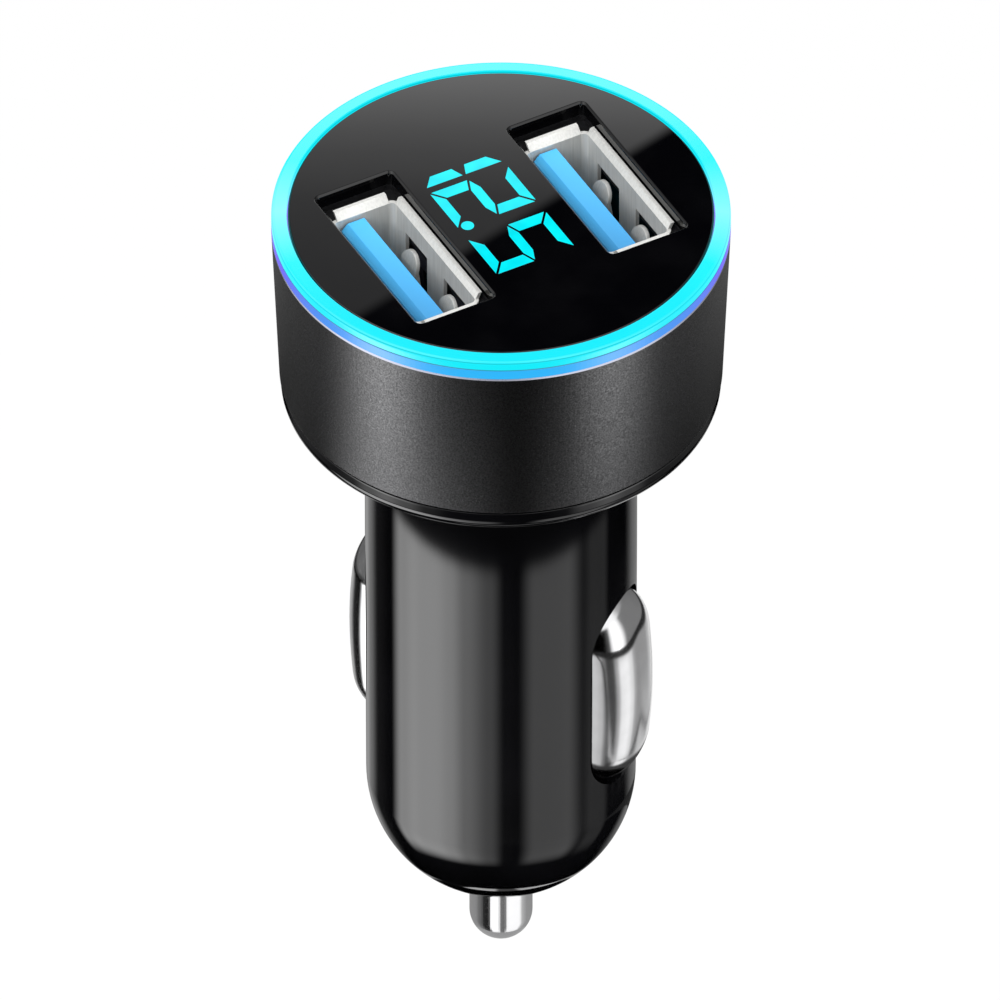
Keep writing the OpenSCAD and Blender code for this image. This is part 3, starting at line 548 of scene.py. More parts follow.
def wound_ferrite():
    """Grey sintered ferrite with a winding of enamelled copper wire between its two flanges."""
    made, tree, principled = new_material("ferrite_with_copper_winding", Roughness=0.45)
    place = add(tree, "ShaderNodeTexCoord").outputs["Object"]
    across = (-math.sin(FRONT), math.cos(FRONT), 0)
    depth = add(tree, "ShaderNodeVectorMath", {0: place, 1: across}, operation="DOT_PRODUCT").outputs["Value"]
    turns = add(
        tree, "ShaderNodeMath", {0: depth, 1: math.tau * per_mm(WIRE_PITCH)}, operation="MULTIPLY"
    ).outputs[0]
    wave = add(tree, "ShaderNodeMath", {0: turns}, operation="SINE").outputs[0]
    speck = add(
        tree, "ShaderNodeTexNoise", {"Vector": place, "Scale": per_mm(0.3), "Detail": 3.0}
    ).outputs["Fac"]
    stone = add(
        tree, "ShaderNodeValToRGB", {"Fac": speck}, stops=[(0.3, srgb("2c2c30")), (0.7, srgb("47474c"))]
    ).outputs["Color"]
    height = add(tree, "ShaderNodeSeparateXYZ", {0: place}).outputs["Z"]
    off = add(tree, "ShaderNodeMath", {0: height, 1: CHOKE_Z * MM}, operation="SUBTRACT").outputs[0]
    away = add(tree, "ShaderNodeMath", {0: off}, operation="ABSOLUTE").outputs[0]
    wound = add(tree, "ShaderNodeMath", {0: away, 1: WINDING_HALF * MM}, operation="LESS_THAN").outputs[0]
    mixed = add(
        tree, "ShaderNodeMix", {"Factor": wound, 6: stone, 7: srgb("a8551f")}, data_type="RGBA"
    ).outputs[2]
    bump = add(tree, "ShaderNodeBump", {"Height": wave, "Strength": 0.5, "Distance": 0.1 * MM}).outputs[0]
    link(tree, principled, Base_Color=mixed, Normal=bump)
    return made


# %% [markdown]
# Some finishes change at a height or a radius of their piece: the sleeve is bright from its bevel on, and the
# light ring glows outside its rim. Those places come from the boxes of the CAD nodes, so they fit the part.

# %% Sizes of the head
SLEEVE_LOW, SLEEVE_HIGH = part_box("head_sleeve")
RING_LOW, RING_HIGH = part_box("light_ring")
HEAD_R = RING_HIGH.x / MM
RING_FOOT_Z = SLEEVE_HIGH.z / MM
FLANGE_TOP_Z = SLEEVE_LOW.z / MM
FACE_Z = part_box("face_panel")[1].z / MM
PANEL_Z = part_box("face_panel")[0].z / MM
RIM_W = 1.12
RIM_R = HEAD_R - RIM_W
RING_RISE = 0.1
RING_EDGE_Z = FACE_Z + RING_RISE
RING_TOP_FALL = 0.05
RING_CORNER_R = 0.3
RING_CORNER = (HEAD_R - RING_CORNER_R, RING_EDGE_Z - RING_TOP_FALL - RING_CORNER_R)
RING_GROOVE_ANGLE = math.radians(30)
RING_GROOVE_W = 0.07
RING_GROOVE_Z = RING_CORNER[1] + RING_CORNER_R * math.sin(RING_GROOVE_ANGLE)
RING_BAND_LOW_H = 0.83
RING_SEAM_Z = RING_FOOT_Z + RING_BAND_LOW_H
RING_SEAM_W = 0.06
SLEEVE_BEVEL = 0.17
TONGUE_HALF = 6.1
print("head radius and face height:", round(HEAD_R, 2), round(FACE_Z, 2), "mm")

# %% All finishes
black_abs = polished_abs()
panel_black = piano_black()
sleeve_grey = blasted_aluminium(RING_FOOT_Z - SLEEVE_BEVEL)
ring_glow = lit_polycarbonate_painted_light(RING_SEAM_Z, RING_GROOVE_Z, RING_SEAM_W, RIM_R)
nickel = plated("satin_nickel_plate", "c3c3c4", "cdcdce", 0.14, 2.5, 0.001)
steel = rolled_steel()
tongue_blue = tongue_plastic_painted_light("317bab", "3996c6", TONGUE_HALF)
FINISHES = {
    "barrel_black": black_abs,
    "sleeve_anodised": sleeve_grey,
    "ring_lit": ring_glow,
    "panel_black": panel_black,
    "holder_black": satin_abs("satin_black_abs", "0b0b0c", "161618"),
    "display_grey": satin_abs("grey_display_case", "34343a", "42424a"),
    "digits_lit": lit_digits(),
    "port_steel": steel,
    "tongue_blue": tongue_blue,
    "gilt": plated("gold_plate", "c89a3c", "e6c06a", 0.2, 0.6),
    "board_green": solder_mask(),
    "lamp_white": lamp_ceramic(),
    "ferrite": wound_ferrite(),
    "capacitor_can": plated("sleeved_aluminium_can", "28324a", "35425f", 0.3, 2.0),
    "chip_black": satin_abs("moulded_epoxy", "141416", "202023", 0.5),
    "cup_brass": plated("turned_brass", "b98d3a", "d8b25a", 0.24, 0.5),
    "spring_steel": plated("drawn_spring_steel", "8f9296", "b4b8bc", 0.3, 0.3),
    "contact_nickel": nickel,
}
for part in frame["record"]["subparts"]:
    node = frame["nodes"][part["node"]]
    node.data.materials.clear()
    node.data.materials.append(FINISHES[part["material_slot"]])
print("finishes:", len(FINISHES))

# %% [markdown]
# The barrel is one moulding with the cup of the head: a straight wall, a round nose with a hole for the tip,
# a flange with a rounded lower edge, and the wall of the cup inside the sleeve. It is turned from one
# outline, inside and outside, so that each opening shows a wall with its real thickness.

# %% Barrel
BARREL_R = 10.05
NOSE_R = 10.0
COLLAR_L = 15.0
NOSE_Z = -37.0
BORE_R = 8.45
NOSE_BORE_R = 8.4
TIP_SEAT_Z = -43.6
TIP_HOLE_R = 2.43
NECK_FILLET = 0.25
FLANGE_R = 16.22
FLANGE_FILLET = 1.2
GROOVE_R = 15.91
GROOVE_H = 0.2
GROOVE_FILLET = 0.06
CUP_R = 15.4
CUP_BORE_R = 14.4
CUP_TOP_Z = 14.6
MOULD_FILLET = 0.1
BOARD_Z = 2.0
CUP_FLOOR_Z = 1.6
LEDGE_W = 1.5


def barrel_outline():
    hole_angle = math.degrees(math.asin(TIP_HOLE_R / NOSE_R))
    seat_r = math.sqrt(NOSE_BORE_R ** 2 - (NOSE_Z - TIP_SEAT_Z) ** 2)
    seat_angle = math.degrees(math.asin(seat_r / NOSE_BORE_R))
    outside = [
        *arc((0, NOSE_Z), NOSE_R, -90 + hole_angle, 0, 28),
        (BARREL_R, -COLLAR_L, 0),
        (BARREL_R, 0, NECK_FILLET),
        (FLANGE_R, 0, FLANGE_FILLET),
        (FLANGE_R, FLANGE_TOP_Z - GROOVE_H, GROOVE_FILLET),
        (GROOVE_R, FLANGE_TOP_Z - GROOVE_H, 0),
        (GROOVE_R, FLANGE_TOP_Z, 0),
        (CUP_R, FLANGE_TOP_Z, 0),
        (CUP_R, CUP_TOP_Z, MOULD_FILLET),
    ]
    inside = [
        (CUP_BORE_R, CUP_TOP_Z, MOULD_FILLET),
        (CUP_BORE_R, BOARD_Z, 0),
        (CUP_BORE_R - LEDGE_W, BOARD_Z, 0),
        (CUP_BORE_R - LEDGE_W, CUP_FLOOR_Z, 0),
        (BORE_R, CUP_FLOOR_Z, 0),
        (BORE_R, NOSE_Z, 0),
        *arc((0, NOSE_Z), NOSE_BORE_R, 0, -90 + seat_angle, 12),
        (TIP_HOLE_R, TIP_SEAT_Z, 0),
    ]
    return rounded(outside + inside)


barrel = turned("barrel_turned", barrel_outline(), black_abs)

# %% [markdown]
# The side contacts stand out of two slots, capsules that are a little larger than the contacts' caps. A lathe
# can't leave gaps in a wall, so a Boolean cuts the slots afterwards. The faces of a cut have no finish of
# their own, so all faces then take the barrel's.

# %% Slots for the side contacts
CONTACT_ANGLE = math.radians(-54.8)
CONTACT_Z = -25.4
CONTACT_L = 17.4
CONTACT_W = 7.4
SLOT_CLEAR = 0.15
CUTTER_X = (4, 12)


def contact_frame(turn):
    """Placement of a piece drawn facing +X, with its length along Z, at a side contact."""
    return Matrix.Rotation(CONTACT_ANGLE + turn, 4, "Z") @ Matrix.Translation((0, 0, CONTACT_Z * MM))


def stadium(width, length, inset=0.0, round_steps=24, side_steps=12):
    """Points of a capsule outline in the YZ plane, with its length along Z, in millimetres."""
    half = (length - width) / 2
    radius = width / 2 - inset
    points = []
    for end in (1, -1):
        for k in range(round_steps + 1):
            angle = math.pi * k / round_steps
            points.append((end * radius * math.cos(angle), end * (half + radius * math.sin(angle))))
        for k in range(1, side_steps):
            points.append((-end * radius, end * (half - 2 * half * k / side_steps)))
    return points


def prism(name, ring, x_low, x_high, place):
    """Closed prism along X over a ring of (y, z) points, in millimetres."""
    count = len(ring)
    mesh = bpy.data.meshes.new(name)
    corners = [(x * MM, y * MM, z * MM) for x in (x_low, x_high) for y, z in ring]
    sides = [(i, (i + 1) % count, count + (i + 1) % count, count + i) for i in range(count)]
    ends = [tuple(reversed(range(count))), tuple(range(count, 2 * count))]
    mesh.from_pydata(corners, [], sides + ends)
    mesh.transform(place)
    return new_object(name, mesh)


def cut(piece, cutters, finish):
    """Cuts the cutters out of piece and removes them. All faces get one finish, and the cuts crisp edges."""
    for cutter in cutters:
        modifier = piece.modifiers.new("cut", "BOOLEAN")
        modifier.operation = "DIFFERENCE"
        modifier.solver = "EXACT"
        modifier.object = cutter
    made = baked(piece.name + "_cut", piece)
    for cutter in cutters:
        bpy.data.objects.remove(cutter)
    made.data.materials.clear()
    made.data.materials.append(finish)
    made.data.polygons.foreach_set("material_index", [0] * len(made.data.polygons))
    made.data.set_sharp_from_angle(angle=CRISP_EDGE)
    return made


slot_ring = stadium(CONTACT_W + 2 * SLOT_CLEAR, CONTACT_L + 2 * SLOT_CLEAR)
slots = [prism(f"slot_{i}", slot_ring, *CUTTER_X, contact_frame(i * math.pi)) for i in (0, 1)]
barrel = cut(barrel, slots, black_abs)
barrel.name = "barrel_moulding"
print("barrel faces:", len(barrel.data.polygons))

# %% [markdown]
# The sleeve is a slightly tapered ring whose top edge is bevelled. The light ring sits on it: a flat top, a
# round corner with a fine groove, an upright band with a seam, and a skirt that goes down into the cup. Both
# are round, so the lathe makes them too. The groove and the seam are cut into the outline, because a line
# that is only painted doesn't notch the ring's edge.


# %% Sleeve
SLEEVE_TAPER = 0.55
SLEEVE_WALL = 0.82
SLEEVE_FOOT_R = HEAD_R - SLEEVE_TAPER
SLEEVE_BORE_R = SLEEVE_FOOT_R - SLEEVE_WALL
SLEEVE_TOP_SET_IN = 0.007
TURNED_FILLET = 0.03
HEAD_SEGMENTS = 256
sleeve = turned("sleeve_turned", rounded([
    (SLEEVE_BORE_R, FLANGE_TOP_Z, 0),
    (SLEEVE_FOOT_R, FLANGE_TOP_Z, 0.08),
    (HEAD_R - SLEEVE_TOP_SET_IN, RING_FOOT_Z - SLEEVE_BEVEL, TURNED_FILLET),
    (HEAD_R - SLEEVE_BEVEL, RING_FOOT_Z, TURNED_FILLET),
    (SLEEVE_BORE_R, RING_FOOT_Z, 0),
]), sleeve_grey, HEAD_SEGMENTS)

# %% Light ring
SKIRT_GAP = 0.2
SKIRT_WALL = 0.9
SKIRT_R = CUP_BORE_R - SKIRT_GAP
SKIRT_BORE_R = SKIRT_R - SKIRT_WALL
REBATE_W = 0.1
REBATE_R = SKIRT_R - REBATE_W
HOLDER_FLANGE_H = 1.0
HOLDER_FLANGE_Z = PANEL_Z - HOLDER_FLANGE_H
GROOVE_HALF_ANGLE = 12


def ring_outline():
    groove = math.degrees(RING_GROOVE_ANGLE)
    reach = RING_CORNER_R - RING_GROOVE_W
    bottom = (
        RING_CORNER[0] + reach * math.cos(RING_GROOVE_ANGLE),
        RING_CORNER[1] + reach * math.sin(RING_GROOVE_ANGLE), 0,
    )
    return rounded([
        (SKIRT_BORE_R, RING_LOW.z / MM, MOULD_FILLET),
        (SKIRT_R, RING_LOW.z / MM, MOULD_FILLET),
        (SKIRT_R, CUP_TOP_Z, 0),
        (CUP_R, CUP_TOP_Z, 0),
        (CUP_R, RING_FOOT_Z, 0),
        (HEAD_R, RING_FOOT_Z, 0.06),
        (HEAD_R, RING_SEAM_Z - RING_SEAM_W, 0.03),
        (HEAD_R - RING_SEAM_W, RING_SEAM_Z, 0),
        (HEAD_R, RING_SEAM_Z + RING_SEAM_W, 0.03),
        *arc(RING_CORNER, RING_CORNER_R, 0, groove - GROOVE_HALF_ANGLE, 2),
        bottom,
        *arc(RING_CORNER, RING_CORNER_R, groove + GROOVE_HALF_ANGLE, 90, 6),
        (RIM_R, RING_EDGE_Z, 0.05),
        (RIM_R, PANEL_Z, 0),
        (REBATE_R, PANEL_Z, 0),
        (REBATE_R, HOLDER_FLANGE_Z, 0),
        (SKIRT_BORE_R, HOLDER_FLANGE_Z, 0),
    ])


light_ring = turned("ring_moulding", ring_outline(), ring_glow, HEAD_SEGMENTS)

# %% [markdown]
# The centre contact is a turned pin with a round end, and the real one is made on a lathe as well. Behind the
# nose it has a flange that stops it, and a spigot that centres its spring.

# %% Centre contact
TIP_R = 2.35
TIP_END_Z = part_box("centre_contact")[0].z / MM
TIP_FLANGE_R = 3.4
TIP_FLANGE_H = 1.0
TIP_FLANGE_TOP_Z = TIP_SEAT_Z + TIP_FLANGE_H
SPIGOT_R = 1.3
SPIGOT_H = 1.0
tip = turned("tip_pin", rounded([
    (0, TIP_END_Z, 0),
    *arc((0, TIP_END_Z + TIP_R), TIP_R, -88, 0, 22),
    (TIP_R, TIP_SEAT_Z, 0),
    (TIP_FLANGE_R, TIP_SEAT_Z, 0.1),
    (TIP_FLANGE_R, TIP_FLANGE_TOP_Z, 0.1),
    (SPIGOT_R, TIP_FLANGE_TOP_Z, 0),
    (SPIGOT_R, TIP_FLANGE_TOP_Z + SPIGOT_H, 0.2),
    (0, TIP_FLANGE_TOP_Z + SPIGOT_H, 0),
]), nickel, segments=96)

# %% [markdown]
# A side contact is drawn from sheet: a capsule-shaped cap with large round edges and a crown that arches
# along its length, on two wings that keep it inside the barrel. A bevel can't round edges that nearly meet
# on the middle line, so the cap is a stack of capsule outlines. They climb the wall, go round the edge on an
# arc, and close on the middle line, and an arch then lowers the ends. Solidify gives this skin the sheet's
# thickness.

# %% Cap of a side contact
CROWN_R = 11.8
WING_R = 8.35
WING_T = 0.6
WING_OUT = 1.0
CAP_EDGE_R = 3.0
CAP_WALL = 0.6
ARCH_R = 45.0
CAP_FOOT_R = math.sqrt((WING_R - WING_T) ** 2 - (CONTACT_W / 2) ** 2)
CAP_EDGE_STEPS = 14


def cap_mesh(name, place):
    """The outside of the cap, from its foot inside the barrel to its crown."""
    height = CROWN_R - CAP_FOOT_R
    levels = [(0.0, 0.0), (0.0, (height - CAP_EDGE_R) / 2)]
    for k in range(CAP_EDGE_STEPS + 1):
        angle = math.pi / 2 * k / CAP_EDGE_STEPS
        levels.append((CAP_EDGE_R * (1 - math.cos(angle)), height - CAP_EDGE_R * (1 - math.sin(angle))))
    flat = CONTACT_W / 2 - CAP_EDGE_R
    levels += [(CAP_EDGE_R + flat * share, height) for share in (0.35, 0.7, 1.0)]
    rings = [stadium(CONTACT_W, CONTACT_L, inset) for inset, rise in levels]
    count = len(rings[0])
    corners = []
    for ring, (inset, rise) in zip(rings, levels):
        for y, z in ring:
            arch = (ARCH_R - math.sqrt(ARCH_R ** 2 - z ** 2)) * rise / height
            corners.append(((CAP_FOOT_R + rise - arch) * MM, y * MM, z * MM))
    faces = [
        (k * count + i, k * count + (i + 1) % count, (k + 1) * count + (i + 1) % count, (k + 1) * count + i)
        for k in range(len(rings) - 1) for i in range(count)
    ]
    mesh = bpy.data.meshes.new(name)
    mesh.from_pydata(corners, [], faces)
    mesh.transform(place)
    shell = bmesh.new()
    shell.from_mesh(mesh)
    bmesh.ops.remove_doubles(shell, verts=shell.verts, dist=SAME_PLACE)
    bmesh.ops.recalc_face_normals(shell, faces=shell.faces)
    shell.to_mesh(mesh)
    shell.free()
    return mesh


# %% Wings of a side contact
def wing_plate(name, place):
    """The curved plate behind the barrel's wall, with the hole of the cap's hollow in it."""
    reach = math.asin((CONTACT_W / 2 + WING_OUT) / WING_R)
    half_l = CONTACT_L / 2 + WING_OUT
    steps = 24
    corners = []
    for radius in (WING_R, WING_R - WING_T):
        for k in range(steps + 1):
            angle = reach * (2 * k / steps - 1)
            for z in (-half_l, half_l):
                corners.append((radius * math.cos(angle) * MM, radius * math.sin(angle) * MM, z * MM))
    back = 2 * (steps + 1)
    faces = []
    for k in range(steps):
        i = 2 * k
        faces.append((i, i + 2, i + 3, i + 1))
        faces.append((back + i, back + i + 1, back + i + 3, back + i + 2))
        faces.append((i, back + i, back + i + 2, i + 2))
        faces.append((i + 1, i + 3, back + i + 3, back + i + 1))
    faces.append((0, 1, back + 1, back))
    last = 2 * steps
    faces.append((last, back + last, back + last + 1, last + 1))
    mesh = bpy.data.meshes.new(name)
    mesh.from_pydata(corners, [], faces)
    mesh.transform(place)
    plate = new_object(name, mesh)
    hollow = stadium(CONTACT_W - 2 * CAP_WALL, CONTACT_L - 2 * CAP_WALL)
    return cut(plate, [prism(name + "_hole", hollow, *CUTTER_X, place)], nickel)


# %% Both side contacts
def side_contact(name, turn):
    place = contact_frame(turn)
    cap = new_object(name, cap_mesh(name, place))
    wall = cap.modifiers.new("wall", "SOLIDIFY")
    wall.thickness = CAP_WALL * MM
    wall.offset = -1
    cap = baked(name + "_cap", cap)
    wing = wing_plate(name + "_wing", place)
    joined = bmesh.new()
    joined.from_mesh(cap.data)
    joined.from_mesh(wing.data)
    bmesh.ops.recalc_face_normals(joined, faces=joined.faces)
    mesh = bpy.data.meshes.new(name)
    joined.to_mesh(mesh)
    joined.free()
    bpy.data.objects.remove(cap)
    bpy.data.objects.remove(wing)
    mesh.polygons.foreach_set("use_smooth", [True] * len(mesh.polygons))
    mesh.set_sharp_from_angle(angle=CRISP_EDGE)
    mesh.materials.append(nickel)
    made = new_object(name, mesh)
    print(name, "has", len(mesh.polygons), "faces")
    return made


right_contact = side_contact("right_side_contact", 0.0)
left_contact = side_contact("left_side_contact", math.pi)

# %% [markdown]
# The panel, the shells and the tongues are flat pieces that keep the CAD shape, but no real edge is a knife.
# A copy of the CAD mesh is merged, its flat faces are joined again, and a small bevel rounds the edges, so
# that each edge takes a thin highlight. Flat faces keep flat shading, or the bevels would bend what they
# mirror.

# %% Softened copies of the flat pieces
CAD_SAME_PLACE = 2e-6
CAD_FLAT = math.radians(1)
BEVEL_SEGMENTS = 2
BEVEL_CRISP = math.radians(40)
ALONG_AN_AXIS = 0.9999


def softened(name, node, bevel_mm, finish):
    source = frame["nodes"][node]
    mesh = source.data.copy()
    mesh.name = name
    clean = bmesh.new()
    clean.from_mesh(mesh)
    bmesh.ops.remove_doubles(clean, verts=clean.verts, dist=CAD_SAME_PLACE)
    bmesh.ops.dissolve_limit(clean, angle_limit=CAD_FLAT, verts=clean.verts, edges=clean.edges)
    clean.to_mesh(mesh)
    clean.free()
    mesh.materials.clear()
    mesh.materials.append(finish)
    made = new_object(name, mesh)
    bevel = made.modifiers.new("edges", "BEVEL")
    bevel.width = bevel_mm * MM
    bevel.segments = BEVEL_SEGMENTS
    bevel.limit_method = "ANGLE"
    bevel.angle_limit = CRISP_EDGE
    bevel.use_clamp_overlap = True
    made = baked(name + "_soft", made)
    made.name = name
    made.data.set_sharp_from_angle(angle=BEVEL_CRISP)
    for face in made.data.polygons:
        face.use_smooth = max(abs(value) for value in face.normal) < ALONG_AN_AXIS
    print(name, "softened to", len(made.data.polygons), "faces")
    return made


panel = softened("panel_moulding", "face_panel", 0.04, panel_black)
shells = {
    side: softened(f"{side}_shell_sheet", f"{side}_port_shell", 0.05, steel)
    for side in ("left", "right")
}
tongues = {
    side: softened(f"{side}_tongue_moulding", f"{side}_port_tongue", 0.08, tongue_blue)
    for side in ("left", "right")
}

# %% [markdown]
# Each finished piece rides on the CAD body that it belongs to, and replaces the CAD node that it was made
# after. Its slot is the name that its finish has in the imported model.

# %% Bodies of the pieces
PIECES = [
    (barrel, "housing", "barrel", "barrel_black"),
    (sleeve, "housing", "head_sleeve", "sleeve_anodised"),
    (light_ring, "housing", "light_ring", "ring_lit"),
    (panel, "housing", "face_panel", "panel_black"),
    (tip, "tip", "centre_contact", "contact_nickel"),
    (right_contact, "right_ground", "right_ground_contact", "contact_nickel"),
    (left_contact, "left_ground", "left_ground_contact", "contact_nickel"),
    (shells["left"], "housing", "left_port_shell", "port_steel"),
    (shells["right"], "housing", "right_port_shell", "port_steel"),
    (tongues["left"], "housing", "left_port_tongue", "tongue_blue"),
    (tongues["right"], "housing", "right_port_tongue", "tongue_blue"),
]
for piece, body, node, slot in PIECES:
    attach(piece, body)
    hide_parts(node)
print("dressed pieces:", len(PIECES))

# %% [markdown]
# The camera looks down at 41.5 degrees with a very long lens, because the photograph shows hardly any
# perspective. One pixel of the photograph is 0.0738 mm, which is made to hold at the middle of the part's
# depth, and the face's centre lies near pixel (501, 213). That gives the point that the camera aims at. An
# orthographic camera would look nearly the same, but a photograph is taken through a lens.

# %% Camera
VIEW_RISE = math.radians(41.5)
LENS_MM = 1700.0
SENSOR_MM = 36.0
PHOTO_SIZE = 1000
PIXEL_MM = 0.07384
FACE_PIXEL = (501.0, 213.9)
FIT_DEPTH = 22.0

toward = Vector((math.sin(VIEW_TURN), -math.cos(VIEW_TURN), 0))
view_back = toward * math.cos(VIEW_RISE) + Vector((0, 0, math.sin(VIEW_RISE)))
view_right = Vector((math.cos(VIEW_TURN), math.sin(VIEW_TURN), 0))
view_up = view_back.cross(view_right)
face_centre = Vector((0, 0, FACE_Z * MM))
aim = face_centre
aim = aim - view_right * (FACE_PIXEL[0] - PHOTO_SIZE / 2) * PIXEL_MM * MM
aim = aim - view_up * (PHOTO_SIZE / 2 - FACE_PIXEL[1]) * PIXEL_MM * MM
distance = PIXEL_MM * MM * PHOTO_SIZE * LENS_MM / SENSOR_MM - FIT_DEPTH * MM

camera = bpy.data.objects.new("camera", bpy.data.cameras.new("camera"))
bpy.context.scene.collection.objects.link(camera)
camera.data.lens = LENS_MM
camera.data.sensor_width = SENSOR_MM
camera.data.clip_start = 0.1
camera.data.clip_end = 50
camera.location = aim + view_back * distance
camera.rotation_euler = (-view_back).to_track_quat("-Z", "Y").to_euler()
bpy.context.scene.camera = camera
print("camera distance:", round(distance, 3), "m")

# %% [markdown]
# Black gloss and bright metal show the studio more than their own colour, so the studio is built round the
# part. A small round tent stands about it, seen only in reflections. Its wall is bright where a softbox
# stands behind the cloth and dark between. An upright wall of the part mirrors a height of the tent that
# goes with its own height, so the sleeve, the flange and the barrel each have a zone of the tent. Lamps with
# the same shapes would do too, but a ramp of levels round the cloth is easier to match to the photograph.


# %% Levels of the light tent
TENT_R = 70.0
TENT_LOW = -150.0
TENT_HIGH = 110.0
NEAR_AXIS = 0.01
BARREL_ZONE_FOOT = (-147.0, -105.0)
BARREL_ZONE_HEAD = (-63.4, -61.4)
FLANGE_ZONE_FOOT = (-55.0, -53.5)
SLEEVE_ZONE_FOOT = (-47.0, -45.0)
TOP_ZONE_FOOT = (22.0, 32.0)
FLANGE_SHARE = 0.4
BARREL_BOXES = [
    (-180, 0.2), (-165, 0.3), (-150, 0.6), (-138, 0.45), (-122, 0.03), (-101, 0.0), (-88, 2.5), (-72, 3.5),
    (-52, 4.0), (-41, 3.6), (-28, 2.2), (-9, 1.0), (3, 0.02), (13, 0.0), (27, 1.05), (54, 1.0), (70, 0.12),
    (78, 0.24), (91, 0.2), (99, 0.0), (122, 0.0), (142, 0.33), (160, 0.3), (180, 0.2),
]
SLEEVE_BOXES = [
    (-180, 0.15), (-130, 0.2), (-105, 0.25), (-86, 0.2), (-76, 0.5), (-66, 2.8), (-56, 4.6), (-45, 2.6),
    (-35, 0.5), (-24, 0.03), (-18, 0.0), (18, 0.0), (30, 0.1), (40, 1.6), (52, 3.0), (64, 1.6), (76, 0.3),
    (100, 0.3), (180, 0.15),
]
TOP_BOXES = [
    (-180, 0.1), (-130, 0.2), (-90, 1.2), (-60, 2.0), (-25, 1.2), (0, 0.4), (25, 1.6), (60, 1.6), (90, 0.6),
    (130, 0.2), (180, 0.1),
]


# %% Glowing cloth
def glowing(name):
    """A material that only glows, with an angle of 0 at the front, where its object's +X axis points."""
    made = bpy.data.materials.new(name)
    made.use_nodes = True
    made.cycles.emission_sampling = "NONE"
    tree = made.node_tree
    tree.nodes.clear()
    place = add(tree, "ShaderNodeTexCoord").outputs["Object"]
    part = add(tree, "ShaderNodeSeparateXYZ", {0: place}).outputs
    angle = add(tree, "ShaderNodeMath", {0: part["Y"], 1: part["X"]}, operation="ARCTAN2").outputs[0]
    turn = add(
        tree, "ShaderNodeMapRange", {"Value": angle, "From Min": -math.pi, "From Max": math.pi}
    ).outputs[0]
    return made, tree, turn, part["Z"]


def levels_round(tree, turn, levels, interpolation="EASE"):
    """Levels round a wall, given as pairs of angle in degrees and level."""
    stops = [((angle + 180) / 360, grey(level)) for angle, level in levels]
    return add(
        tree, "ShaderNodeValToRGB", {"Fac": turn}, stops=stops, interpolation=interpolation
    ).outputs["Color"]


def blend(tree, value, low, high, below, above):
    """Goes softly from below to above while value goes from low to high, in millimetres."""
    share = add(
        tree, "ShaderNodeMapRange", {"Value": value, "From Min": low * MM, "From Max": high * MM},
        interpolation_type="SMOOTHSTEP",
    ).outputs[0]
    return add(tree, "ShaderNodeMix", {"Factor": share, 6: below, 7: above}, data_type="RGBA").outputs[2]


def tent_material():
    made, tree, turn, height = glowing("tent_cloth")
    dark = grey(0.0)
    barrel_zone = levels_round(tree, turn, BARREL_BOXES)
    flange_zone = levels_round(tree, turn, [(angle, FLANGE_SHARE * level) for angle, level in SLEEVE_BOXES])
    sleeve_zone = levels_round(tree, turn, SLEEVE_BOXES)
    top_zone = levels_round(tree, turn, TOP_BOXES)
    light = blend(tree, height, *BARREL_ZONE_FOOT, dark, barrel_zone)
    light = blend(tree, height, *BARREL_ZONE_HEAD, light, dark)
    light = blend(tree, height, *FLANGE_ZONE_FOOT, light, flange_zone)
    light = blend(tree, height, *SLEEVE_ZONE_FOOT, light, sleeve_zone)
    light = blend(tree, height, *TOP_ZONE_FOOT, light, top_zone)
    glow = add(tree, "ShaderNodeEmission", {"Color": light, "Strength": 1.0})
    add(tree, "ShaderNodeOutputMaterial", {"Surface": glow.outputs[0]})
    return made


# %% Walls that only reflections show
def only_in_reflections(piece):
    piece.visible_camera = False
    piece.visible_diffuse = False
    piece.visible_shadow = False
    piece.visible_transmission = False
    piece.visible_volume_scatter = False


def round_wall(name, material, loops, first=-180.0, last=180.0):
    """Walls between loops of (radius, height) round the axis, between two angles, where 0 is the front."""
    steps = 96
    corners = []
    for radius, z in loops:
        for k in range(steps + 1):
            angle = math.radians(first + (last - first) * k / steps)
            corners.append((radius * math.cos(angle) * MM, radius * math.sin(angle) * MM, z * MM))
    columns = steps + 1
    faces = [
        (row * columns + k, row * columns + k + 1, (row + 1) * columns + k + 1, (row + 1) * columns + k)
        for row in range(len(loops) - 1) for k in range(steps)
    ]
    mesh = bpy.data.meshes.new(name)
    mesh.from_pydata(corners, [], faces)
    mesh.materials.append(material)
    made = new_object(name, mesh)
    made.rotation_euler = (0, 0, math.atan2(toward.y, toward.x))
    only_in_reflections(made)
    print(name, "has", len(mesh.polygons), "faces")


round_wall(
    "tent", tent_material(),
    [(NEAR_AXIS, TENT_LOW), (TENT_R, TENT_LOW), (TENT_R, TENT_HIGH), (NEAR_AXIS, TENT_HIGH)],
)

# %% [markdown]
# The tip and the right side contact have small reflectors of their own, as a photographer would make them of
# card. The first is a cuff round the tip. The nose would mirror a plain card too, so the cuff is only there
# for short rays, which come from the tip.

# %% Cuff round the tip
CUFF_R = 7.0
CUFF_HIGH = -49.0
CUFF_LOW = -62.0
CUFF_FOOT = (CUFF_LOW + 0.1, CUFF_LOW + 1.5)
CUFF_FOOT_LEVEL = 0.5
CUFF_REACH = 14.5
CUFF_STRIPES = [
    (-180, 0.35), (-110, 0.4), (-80, 0.2), (-64, 0.03), (-43, 0.02), (-37, 1.8), (-9, 1.8), (-2, 0.25),
    (16, 0.22), (24, 1.7), (72, 1.7), (84, 0.7), (110, 0.45), (180, 0.3),
]


